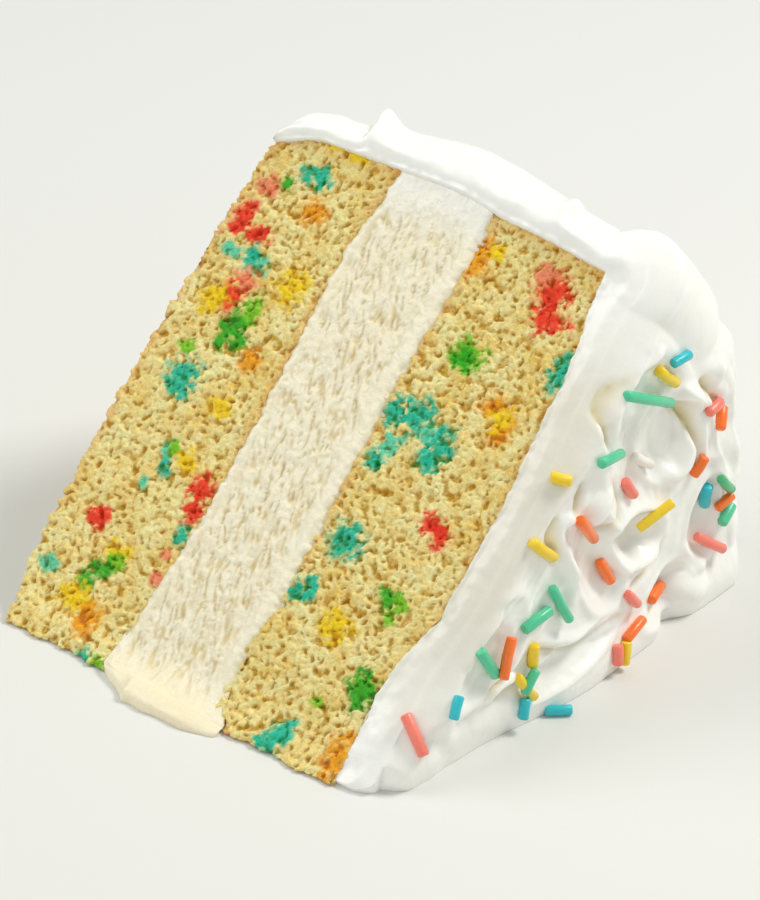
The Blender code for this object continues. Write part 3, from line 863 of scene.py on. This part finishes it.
def lobes_of_foot(radius):
    """How far the frosting bulges over the table, from the tip outward."""
    stations = ((0.0, 0.8), (6.0, 1.8), (15.0, 2.2), (20.0, 0.5), (27.0, 1.6), (45.0, 2.0), (60.0, 1.5))
    return along(radius, (*stations, (80.0, 2.2), (87.0, 0.5), (97.0, 2.5), (116.0, 1.6)))


def rim_edge(x):
    return along(x, ((0.0, 121.4), (12.0, 123.4), (44.0, 127.4), (90.0, 122.0)))


def rim_curls(x):
    """Two small peaks where the knife left the frosting on the rim, steep on one side."""
    large = 4.4 * hump(x, 21.8, np.where(x < 21.8, 1.2, 3.4))
    small = 1.7 * hump(x, 71.0, np.where(x < 71.0, 2.2, 1.1))
    return large + small


# %% [markdown]
# The block of frosting is an L of outline, thick at the shoulder, swept like the layers. Its inner
# points are gathered in fives before the sweep, because that side is never seen.

# %% Frosting
FROSTING_COLUMNS = 18
FROSTING_ROWS = 500
FROSTING_TURNS = 142
KNIFE_BAND = 3.0
CUT_ROUNDING = 2.0


def frosting_outline(across, outward):
    """The L of frosting: from the tip up the top, round the shoulder and down the rim."""
    straight = RIM_OUT - SHOULDER - TIP_RADIUS
    bend = SHOULDER * math.pi / 2.0
    down = TOP_OUT - SHOULDER
    run = outward * (straight + bend + down)
    turn = np.clip((run - straight) / bend, 0.0, 1.0) * math.pi / 2.0
    fall = np.clip(run - straight - bend, 0.0, down)
    x_out = TOP_OUT - SHOULDER + SHOULDER * np.cos(turn) - fall
    r_out = TIP_RADIUS + np.clip(run, 0.0, straight) + SHOULDER * np.sin(turn)
    tip = np.clip(1.0 - (r_out - TIP_RADIUS) / 3.0, 0.0, 1.0)
    x_out = x_out - 4.0 * tip**2
    end = np.clip(1.0 - x_out / 5.0, 0.0, 1.0)
    r_out = r_out - 7.0 * (1.0 - np.sqrt(1.0 - end**2 * 0.98))
    inside_rim = rim_of_cake(np.clip(x_out, 0.0, 88.0)) - 0.8
    r_in = np.clip(r_out, TIP_RADIUS, inside_rim)
    r_in = np.where(turn > 0.0, np.minimum(TIP_RADIUS + straight + (turn / (math.pi / 4)) * (
        inside_rim - TIP_RADIUS - straight), inside_rim), r_in)
    x_in = top_of_upper_cake(r_in) - 0.8
    corner = np.clip((turn - math.pi / 4) / (math.pi / 4), 0.0, 1.0)
    x_in = x_in + (TOP_OUT - SHOULDER - x_in) * corner
    x_in = np.where(fall > 0.0, np.maximum(x_out, 0.6), x_in)
    return x_in + (x_out - x_in) * across, r_in + (r_out - r_in) * across


def frosting_shift(x, radius, turned, lean):
    """How far the worked surface stands out from the plain outline, and the painted shade of its bowls and
    creases.
    """
    y = radius * np.cos(turned * SLICE_ANGLE)
    z = radius * np.sin(turned * SLICE_ANGLE)
    arc = turned * SLICE_ANGLE * radius
    from_cut = (1.0 - turned) * SLICE_ANGLE * radius
    on_rim = lean / (math.pi / 2.0)
    edge = ease(from_cut, 0.0, KNIFE_BAND)
    low = 1.0 - ease(z, 0.0, 26.0)
    shift = (cut_edge_of_top(radius) - TOP_OUT) * (1.0 - edge)
    shift += (foot_of_top(radius) - TOP_OUT) * low
    shift += 1.6 * edge * (1.0 - low) * ease(radius, 8.0, 30.0)
    top_work, lines, crease_shade = spooned_top(y, z)
    rim_work = worked_surface(x, arc, RIM_FOLDS, (), 0.6, 0.35)
    calmer = ease(radius, 2.0, 14.0) * (0.35 + 0.65 * ease(z, 0.0, 6.0))
    fade = edge * calmer
    bulge = lobes_of_foot(radius)
    shift += bulge * (np.clip(1.0 - ((z - 2.6) / 6.4) ** 2, 0.0, 1.0) - 0.83 * low * ease(radius, 8.0, 24.0))
    line_fade = ease(from_cut, 0.0, 1.3) * calmer
    shift = (1.0 - on_rim) * (shift + top_work * fade + lines * line_fade)
    corner = 5.0 * ease(turned, 0.35, 0.72) * (0.6 + 0.4 * edge) - 3.0 * (1.0 - ease(turned, 0.0, 0.3))
    shift += corner * np.sin(2.0 * lean)
    rim_shift = (rim_edge(x) - RIM_OUT) * (0.35 + 0.65 * turned)
    rim_shift += rim_curls(x) * ease(turned, 0.95, 0.992)
    shift += on_rim * (rim_shift + rim_work * edge * ease(x, 0.0, 8.0))
    shift += 0.5 * waves(columns_of(x, y, z), 16.0, 3) * fade
    drag = waves(columns_of(from_cut, radius * 0.10, x * 0.2), 1.3, 4)
    shift += 0.22 * drag * ease(7.0 - from_cut, 0.0, 3.0) * ease(radius, 6.0, 14.0)
    notch = np.degrees(turned * SLICE_ANGLE) - 31.5
    shift -= 2.4 * np.exp(-((notch / 1.8) ** 2)) * np.sin(2.0 * lean)
    over = np.clip(1.0 - from_cut / 3.4, 0.0, 1.0)
    shift -= CUT_ROUNDING * (1.0 - np.sqrt(1.0 - over**2)) * ease(radius, 1.0, 8.0)
    # Painted shade: the spoon's bowls are painted greyer
    bowl_shade = (1.0 - on_rim) * ease(-top_work, 0.8, 4.0) * fade
    crease_shade = (1.0 - on_rim) * crease_shade * line_fade
    return np.maximum(shift, 4.0 - (TOP_OUT - UPPER_CAKE_TOP)), bowl_shade, crease_shade


def add_frosting():
    def share_of(across):
        return 0.55 * across + 0.45 * ease(across, 0.0, 1.0)

    def outline(across, outward):
        outward = np.where(across < AT_START, gathered(outward, FROSTING_ROWS, 5), outward)
        return frosting_outline(share_of(across), outward)

    block = swept_wedge("spread_frosting", FROSTING_COLUMNS, FROSTING_ROWS, FROSTING_TURNS, outline)
    points, radius, turned, across, outward = read_wedge(block)
    share = share_of(across)
    x_out, r_out = frosting_outline(np.ones(len(across)), outward)
    straight = RIM_OUT - SHOULDER
    down = np.maximum(x_out - (TOP_OUT - SHOULDER), 0.0)
    lean = np.arctan2(np.maximum(r_out - straight, 0.0), down)
    lean = np.where(r_out <= straight, 0.0, np.where(x_out <= TOP_OUT - SHOULDER, math.pi / 2, lean))
    shift, bowl_shade, crease_shade = frosting_shift(x_out, r_out, turned, lean)
    moved = points.copy()
    turn = turned * SLICE_ANGLE
    ways = columns_of(np.cos(lean), np.sin(lean) * np.cos(turn), np.sin(lean) * np.sin(turn))
    moved += (shift * share)[:, None] * ways

    on_cut = turned > AT_END
    on_rim = ease(lean, 0.4, 1.2)
    moved[:, 0] -= 0.4 * rim_curls(x_out) * ease(turned, 0.95, 0.992) * on_rim * share
    smear = 0.40 + 0.35 * waves(points, 8.0, 600) + 0.12 * waves(points, 2.6, 601)
    smear += (0.3 + 1.0 * on_rim) * (1.0 + 0.5 * waves(points, 11.0, 604)) * np.sin(math.pi * share)
    smear *= 1.0 - ease(share, 0.55, 1.0)
    beads = 0.35 + 0.40 * waves(points, 1.7, 605) + 0.45 * waves(points, 4.1, 606)
    inner = 1.2 * ease(0.05 - share, 0.0, 0.05) - beads * hump(share, 0.09, 0.05)
    moved += np.where(on_cut, smear - inner, 0.0)[:, None] * UP_FROM_CUT
    ragged = 0.6 * waves(points, 4.0, 602) + 0.35 * waves(points, 1.3, 603)
    moved[:, 0] += np.where(on_cut & (share < 0.3) & (lean < 0.5), ragged * (0.3 - share) / 0.3, 0.0)
    moved[:, 2] = np.where(points[:, 2] < 1e-3, 0.0, np.maximum(moved[:, 2], 0.0))
    set_points(block, moved)
    # The painted shade of the bowls and creases, for the frosting material
    measure(block, "bowl_shade", bowl_shade * share)
    measure(block, "crease_shade", crease_shade * share)
    from_cut = (1.0 - turned) * SLICE_ANGLE * radius
    # Painted shade along the knife's cut on the top, away from the tip and the rim
    inner_part = ease(points[:, 1], 5.0, 30.0) * (1.0 - ease(points[:, 1], 60.0, 76.0))
    measure(block, "knife_band_shade", (1.0 - ease(from_cut, 0.3, 5.5)) * (1.0 - on_rim) * inner_part)
    return block


frosting = add_frosting()

# %% [markdown]
# ## Sprinkles
# Sugar strands are cut from a soft rod, so each has blunt, slightly uneven ends. One is made from
# a sphere whose halves are drawn apart and squared off, and each copy is bent a little and laid on
# the frosting along the line on which the photo shows it.

# %% Sprinkles
MINT, CYAN, YELLOW_SUGAR = linear(74, 200, 150), linear(0, 190, 200), linear(244, 208, 0)
ORANGE_SUGAR, PINK, WHITE = linear(255, 116, 0), linear(250, 128, 108), linear(240, 234, 224)
FRESH_GREEN = linear(70, 184, 118)
SPRINKLE_RADIUS = 1.12
BLUNT_END = 0.42

# Each strand as the (Y, Z) of its two ends, on the plane X = 97 in which it was measured
STRANDS = {
    "mint": (MINT, (
        (67, 64.2, 84.3, 54.5), (62, 50.2, 69.4, 49.5), (48.5, 28.3, 55.5, 16.3),
        (40.5, 21.5, 50, 22), (26.8, 24.2, 33.2, 14.6), (44.2, 11.6, 40.4, 7),
        (111.3, 17.3, 107.6, 13.6),
    )),
    "yellow": (YELLOW_SUGAR, (
        (81.5, 62.8, 88.8, 56.2), (48, 53.5, 56, 48.3), (41, 42.5, 49.2, 34.5),
        (75.8, 29.5, 88.5, 30.5), (44.8, 16.4, 44.6, 10.8), (39.4, 11.4, 46, 2.4),
        (75.8, 1.4, 75.4, -4.8),
    )),
    "cyan": (CYAN, (
        (86.2, 62, 92.7, 61.7), (21.5, 16.2, 19.6, 10.9), (41.9, 5.2, 41.4, -0.2),
        (102.1, 26.4, 101.2, 21.6),
    )),
    "orange": (ORANGE_SUGAR, (
        (56.5, 40.5, 62, 33), (65.5, 26, 70.5, 18.2), (36.2, 23.2, 33.8, 13.4),
        (104.5, 43.8, 104.2, 37.8), (96.8, 30.8, 101.1, 33.8), (104.6, 19.4, 110.6, 20.4),
        (83.8, 6.5, 87.5, 9), (75.8, 0.8, 82.2, 3.5),
    )),
    "pink": (PINK, (
        (72.2, 41.3, 76.2, 35.5), (4.5, 20.8, 11.5, 6.2), (99.6, 44.5, 104.2, 45.6),
        (97.2, 16.3, 108.8, 7.2), (75.3, 13, 79.5, 8.2), (73, 1.8, 73.5, -4),
    )),
    "white": (WHITE, ((74.5, 46, 81, 41),)),
    "green": (FRESH_GREEN, ((106, 26.5, 110.5, 21.5),)),
}


def strand_mesh():
    """A round-ended rod 2 long between the middles of its ends, along X, with unit radius."""
    bpy.ops.object.select_all(action="DESELECT")
    bpy.ops.mesh.primitive_uv_sphere_add(segments=14, ring_count=10, radius=1.0)
    rod = bpy.context.object
    rod.name = "strand"
    points = get_points(rod) / 1000.0
    side = np.sign(np.round(points[:, 2], 5))
    around = np.hypot(points[:, 0], points[:, 1])
    fuller = np.where(around > 0.01, np.clip(around, 0.01, 1.0) ** -0.62, 1.0)
    lengthways = side * (1.0 + BLUNT_END * np.abs(points[:, 2]) ** 1.4)
    set_points(rod, np.stack([lengthways, points[:, 0] * fuller, points[:, 1] * fuller], 1) * 1000.0)
    return rod


# %% [markdown]
# A strand is laid where the camera's lines of sight through its two ends meet the frosting, lifted
# over the highest place between them and sunk a little, so that it lies on the frosting from every
# side. One fell on the table and rests against the frosting's foot.

# %% Laying the strands
# The (X, Y) of the ends of the strand that fell beside the foot of the frosting
FALLEN_STRAND = ((100.4, 45.6), (104.4, 49.5))
# Strands that lie across others are lifted over them, and one is half sunk
ON_TOP = {
    (36.2, 23.2, 33.8, 13.4): 1.5,
    (44.2, 11.6, 40.4, 7.0): 1.3,
    (67.0, 64.2, 84.3, 54.5): 0.4,
    (99.6, 44.5, 104.2, 45.6): -0.9,
}


def lay_strand(template, tree, ends, index):
    """A copy of the rod whose ends lie where two sight lines meet the frosting."""
    eye = np.array(camera.location) * 1000.0 - np.array([tip_x, tip_y, 0.0])
    hits, normals = [], []
    for share in (0.0, 0.25, 0.5, 0.75, 1.0):
        y = ends[0] + (ends[2] - ends[0]) * share
        z = ends[1] + (ends[3] - ends[1]) * share
        ahead = np.array([97.0, y, z]) - eye
        hit = tree.ray_cast(Vector(eye / 1000.0), Vector(ahead).normalized())
        if hit[0] is not None:
            hits.append(np.array(hit[0]) * 1000.0)
            normals.append(np.array(hit[1]))
    if len(hits) < 4:
        print("no frosting under strand", index, ends)
        return None
    first, last = hits[0], hits[-1]
    along_rod = (last - first) / np.linalg.norm(last - first)
    upward = np.mean(normals, axis=0) + np.array([0.35, 0.0, 0.0])
    upward -= along_rod * (upward @ along_rod)
    upward /= np.linalg.norm(upward)
    sideways = np.cross(upward, along_rod)
    rises = [(hit - first) @ upward for hit in hits]
    thick = SPRINKLE_RADIUS * (0.92 + 0.16 * hash_of(np.array([index, 3, 5]), 8))
    half = 0.46 * np.linalg.norm(last - first) - thick * BLUNT_END
    lift = thick * 0.62 + max(np.median(rises), 0.85 * max(rises)) + ON_TOP.get(ends, 0.0)
    middle = (first + last) / 2.0 + upward * lift
    if middle[2] - abs(along_rod[2]) * half < thick:
        middle[2] = thick + abs(along_rod[2]) * half
    return bent_rod(template, index, middle, half, thick, along_rod, sideways, upward)


def bent_rod(template, index, middle, half, thick, along_rod, sideways, upward):
    """A copy of the rod, a little bent and uneven, in its place."""
    copy = template.copy()
    copy.data = template.data.copy()
    bpy.context.scene.collection.objects.link(copy)
    points = get_points(copy) / 1000.0
    body = np.clip(points[:, 0], -1.0, 1.0)
    cap = points[:, 0] - body
    bend = 0.5 * (hash_of(np.array([index, 9, 2]), 4) - 0.3) * (body**2 - 0.4)
    uneven = 1.0 + 0.07 * waves(points * np.array([2.0, 0.6, 0.6]) + index * 7.0, 1.0, 900)
    laid = middle + (body * half + cap * thick)[:, None] * along_rod
    laid += (points[:, 1] * thick * uneven + bend * thick * 0.5)[:, None] * sideways
    laid += (points[:, 2] * thick * uneven)[:, None] * upward
    set_points(copy, laid)
    return copy


def add_sprinkles(base):
    tree = BVHTree.FromObject(base, bpy.context.evaluated_depsgraph_get())
    template = strand_mesh()
    made = []
    index = 0
    for name, (colour, strands) in STRANDS.items():
        copies = []
        for ends in strands:
            index += 1
            copy = lay_strand(template, tree, ends, index)
            if copy:
                copies.append(copy)
        if name == "cyan":
            start, end = (np.array([*place, SPRINKLE_RADIUS]) for place in FALLEN_STRAND)
            ahead = (end - start) / np.linalg.norm(end - start)
            aside = np.array([-ahead[1], ahead[0], 0.0])
            half = 0.5 * np.linalg.norm(end - start) - SPRINKLE_RADIUS * BLUNT_END
            place = ((start + end) / 2.0, half, SPRINKLE_RADIUS, ahead, aside, np.array([0.0, 0.0, 1.0]))
            copies.append(bent_rod(template, 90, *place))
        bpy.ops.object.select_all(action="DESELECT")
        for copy in copies:
            copy.select_set(True)
        bpy.context.view_layer.objects.active = copies[0]
        if len(copies) > 1:
            bpy.ops.object.join()
        joined = bpy.context.object
        joined.name = name + "_strands"
        bpy.ops.object.shade_smooth()
        made.append((joined, name, colour))
    bpy.data.objects.remove(template)
    print(index, "strands laid")
    return made


sprinkles = add_sprinkles(frosting)

# %% [markdown]
# ## Materials
# Sponge is matt and lets a little light through, ice cream is wetter where it has melted, and
# frosting is smooth butter and sugar with a soft gloss. The unevenness that they share comes from
# one group of nodes that gives a fine grain as a height and as a shade.

# %% Material helpers


def add_node(tree, kind, place, **settings):
    node = tree.nodes.new(kind)
    node.location = place
    for key, value in settings.items():
        setattr(node, key, value)
    return node


def set_inputs(node, **values):
    """Sets inputs by their names, written with _ for a space."""
    for key, value in values.items():
        node.inputs[key.replace("_", " ")].default_value = value


def grain_group():
    """Fine uneven grain: a coarse and a fine noise, as a height and as a shade from 0 to 1."""
    group = bpy.data.node_groups.new("grain", "ShaderNodeTree")
    for name, value in (("Coarse Scale", 600.0), ("Fine Scale", 2400.0), ("Fine Share", 0.4)):
        socket = group.interface.new_socket(name, in_out="INPUT", socket_type="NodeSocketFloat")
        socket.default_value = value
    for name in ("Height", "Shade"):
        group.interface.new_socket(name, in_out="OUTPUT", socket_type="NodeSocketFloat")
    link = group.links.new
    start = add_node(group, "NodeGroupInput", (-600, 0))
    end = add_node(group, "NodeGroupOutput", (500, 0))
    place = add_node(group, "ShaderNodeTexCoord", (-600, 250))
    blend = add_node(group, "ShaderNodeMix", (0, 100), data_type="FLOAT")
    link(start.outputs["Fine Share"], blend.inputs["Factor"])
    for name, detail, row, side in (("Coarse Scale", 3.0, 200, "A"), ("Fine Scale", 2.0, -100, "B")):
        noise = add_node(group, "ShaderNodeTexNoise", (-300, row))
        set_inputs(noise, Detail=detail)
        link(place.outputs["Object"], noise.inputs["Vector"])
        link(start.outputs[name], noise.inputs["Scale"])
        link(noise.outputs["Fac"], blend.inputs[side])
    spread = add_node(group, "ShaderNodeMapRange", (250, -100))
    set_inputs(spread, From_Min=0.3, From_Max=0.7)
    link(blend.outputs["Result"], spread.inputs["Value"])
    link(blend.outputs["Result"], end.inputs["Height"])
    link(spread.outputs["Result"], end.inputs["Shade"])
    return group


GRAIN = grain_group()


def food_material(name, coarse, fine, share, bump_distance, **settings):
    """A Principled material with the grain group on its bump, and uniform values on its sockets."""
    made = bpy.data.materials.new(name)
    made.use_nodes = True
    tree = made.node_tree
    shader = tree.nodes["Principled BSDF"]
    set_inputs(shader, **settings)
    grain = add_node(tree, "ShaderNodeGroup", (-700, -200), node_tree=GRAIN)
    set_inputs(grain, Coarse_Scale=coarse, Fine_Scale=fine, Fine_Share=share)
    bump = add_node(tree, "ShaderNodeBump", (-300, -300))
    set_inputs(bump, Distance=bump_distance, Strength=1.0)
    tree.links.new(grain.outputs["Height"], bump.inputs["Height"])
    tree.links.new(bump.outputs["Normal"], shader.inputs["Normal"])
    return made, tree, shader, grain.outputs["Shade"]


def stored(tree, name, row, output="Fac"):
    """The number or colour that is stored for each point under this name."""
    return add_node(tree, "ShaderNodeAttribute", (-1100, row), attribute_name=name).outputs[output]


def turned_to(tree, column, first, second, share):
    """The first colour, turned to the second by share. The first may be a socket."""
    blend = add_node(tree, "ShaderNodeMix", (column, 250), data_type="RGBA")
    if isinstance(first, bpy.types.NodeSocket):
        tree.links.new(first, blend.inputs["A"])
    else:
        blend.inputs["A"].default_value = (*first, 1.0)
    blend.inputs["B"].default_value = (*second, 1.0)
    tree.links.new(share, blend.inputs["Factor"])
    return blend.outputs["Result"]


def ranged(tree, row, source, at_zero, at_one, **settings):
    """A number that runs from at_zero to at_one with the source."""
    span = add_node(tree, "ShaderNodeMapRange", (-500, row), **settings)
    set_inputs(span, To_Min=at_zero, To_Max=at_one)
    tree.links.new(source, span.inputs["Value"])
    return span.outputs["Result"]


def shaded_colour(tree, shader, source, shade):
    """The source colour times a shade."""
    times = add_node(tree, "ShaderNodeVectorMath", (-250, 200), operation="SCALE")
    tree.links.new(source, times.inputs[0])
    tree.links.new(shade, times.inputs["Scale"])
    tree.links.new(times.outputs["Vector"], shader.inputs["Base Color"])


# %% [markdown]
# Sponge: the crumb's painted colour, with a painted golden shade in the hollows, which the stored
# depth and the fine grain both mark.

# %% Sponge material


def cake_material():
    made, tree, shader, shade = food_material(
        "sponge", 1100.0, 2800.0, 0.5, 0.0006, Roughness=0.58, IOR=1.38,
        Subsurface_Weight=0.30, Subsurface_Scale=0.0010, Subsurface_Radius=(1.0, 0.7, 0.3),
    )
    # Painted shade: the crumb is darkened to gold most where the relief is low or where the fine grain is
    # dark
    deep = add_node(tree, "ShaderNodeMath", (-700, 100), operation="ADD", use_clamp=True)
    tree.links.new(stored(tree, "crumb_shade", 150), deep.inputs[0])
    tree.links.new(ranged(tree, -50, shade, 0.40, -0.30, clamp=False), deep.inputs[1])
    painted_shade = turned_to(tree, -500, (1.0, 1.0, 1.0), PAINTED_HOLLOW_SHADE, deep.outputs["Value"])
    times = add_node(tree, "ShaderNodeVectorMath", (-250, 250), operation="MULTIPLY")
    tree.links.new(stored(tree, "crumb", 350, "Color"), times.inputs[0])
    tree.links.new(painted_shade, times.inputs[1])
    tree.links.new(times.outputs["Vector"], shader.inputs["Base Color"])
    return made


# %% [markdown]
# Ice cream: matt and icy where it is torn, wet and glossy where it has melted.

# %% Ice cream material


def ice_cream_material():
    made, tree, shader, shade = food_material(
        "vanilla_ice_cream", 1100.0, 3000.0, 0.4, 0.00025, IOR=1.4,
        Subsurface_Weight=0.25, Subsurface_Scale=0.001, Subsurface_Radius=(1.0, 0.85, 0.6),
        Coat_Weight=0.2, Coat_Roughness=0.15,
    )
    shaded_colour(tree, shader, stored(tree, "cream", 250, "Color"), ranged(tree, 100, shade, 0.95, 1.03))
    roughness = ranged(tree, -50, stored(tree, "melted", 0), 0.42, 0.28)
    tree.links.new(roughness, shader.inputs["Roughness"])
    return made


# %% [markdown]
# Frosting: nearly white, with painted shade that makes it a little grey in its bowls and along the
# knife's cut and golden in its deepest creases, under a thin glossy coat of fat.

# %% Frosting material


def frosting_material():
    made, tree, shader, shade = food_material(
        "white frosting", 260.0, 900.0, 0.15, 0.00015, IOR=1.45, Specular_IOR_Level=0.6,
        Subsurface_Weight=0.35, Subsurface_Scale=0.0014, Subsurface_Radius=(1.0, 0.9, 0.72),
        Coat_Weight=0.35, Coat_Roughness=0.14,
    )
    # Painted shade: greyer in the bowls and along the knife's cut, warm gold in the creases
    colour = turned_to(tree, -900, FROSTING_WHITE, linear(232, 229, 216), stored(tree, "bowl_shade", 250))
    colour = turned_to(tree, -700, colour, linear(232, 227, 213), stored(tree, "knife_band_shade", 50))
    colour = turned_to(tree, -500, colour, linear(222, 205, 146), stored(tree, "crease_shade", -150))
    shaded_colour(tree, shader, colour, ranged(tree, 100, shade, 0.985, 1.01))
    tree.links.new(ranged(tree, -50, shade, 0.29, 0.38), shader.inputs["Roughness"])
    return made


# %% [markdown]
# Sugar strands: strong pastel colours, a little uneven, with a thin glaze.

# %% Sugar material


def strand_material(name, colour):
    made, tree, shader, shade = food_material(
        name + " sugar", 900.0, 3000.0, 0.5, 0.00008, IOR=1.45,
        Subsurface_Weight=0.2, Subsurface_Scale=0.0007, Coat_Weight=0.2, Coat_Roughness=0.2,
    )
    paler = colour + (1.0 - colour) * 0.05
    tree.links.new(turned_to(tree, -700, colour, paler, shade), shader.inputs["Base Color"])
    tree.links.new(ranged(tree, -50, shade, 0.28, 0.42), shader.inputs["Roughness"])
    return made


# %% [markdown]
# ## Putting it together
# Each piece gets its finish and replaces its plain solid, and the strands lie on the frosting's.

# %% Putting it together
SPONGE = cake_material()
for piece, node in ((lower_cake, "cake_layer_bottom"), (upper_cake, "cake_layer_top")):
    piece.data.materials.append(SPONGE)
    put_in_place(piece, node)
ice_cream.data.materials.append(ice_cream_material())
put_in_place(ice_cream, "ice_cream_layer")
frosting.data.materials.append(frosting_material())
put_in_place(frosting, "frosting")
for joined, name, colour in sprinkles:
    joined.data.materials.clear()
    joined.data.materials.append(strand_material(name, colour))
    put_in_place(joined, None)
for piece in (lower_cake, upper_cake, ice_cream, frosting):
    piece.data.polygons.foreach_set("use_smooth", np.ones(len(piece.data.polygons), dtype=bool))
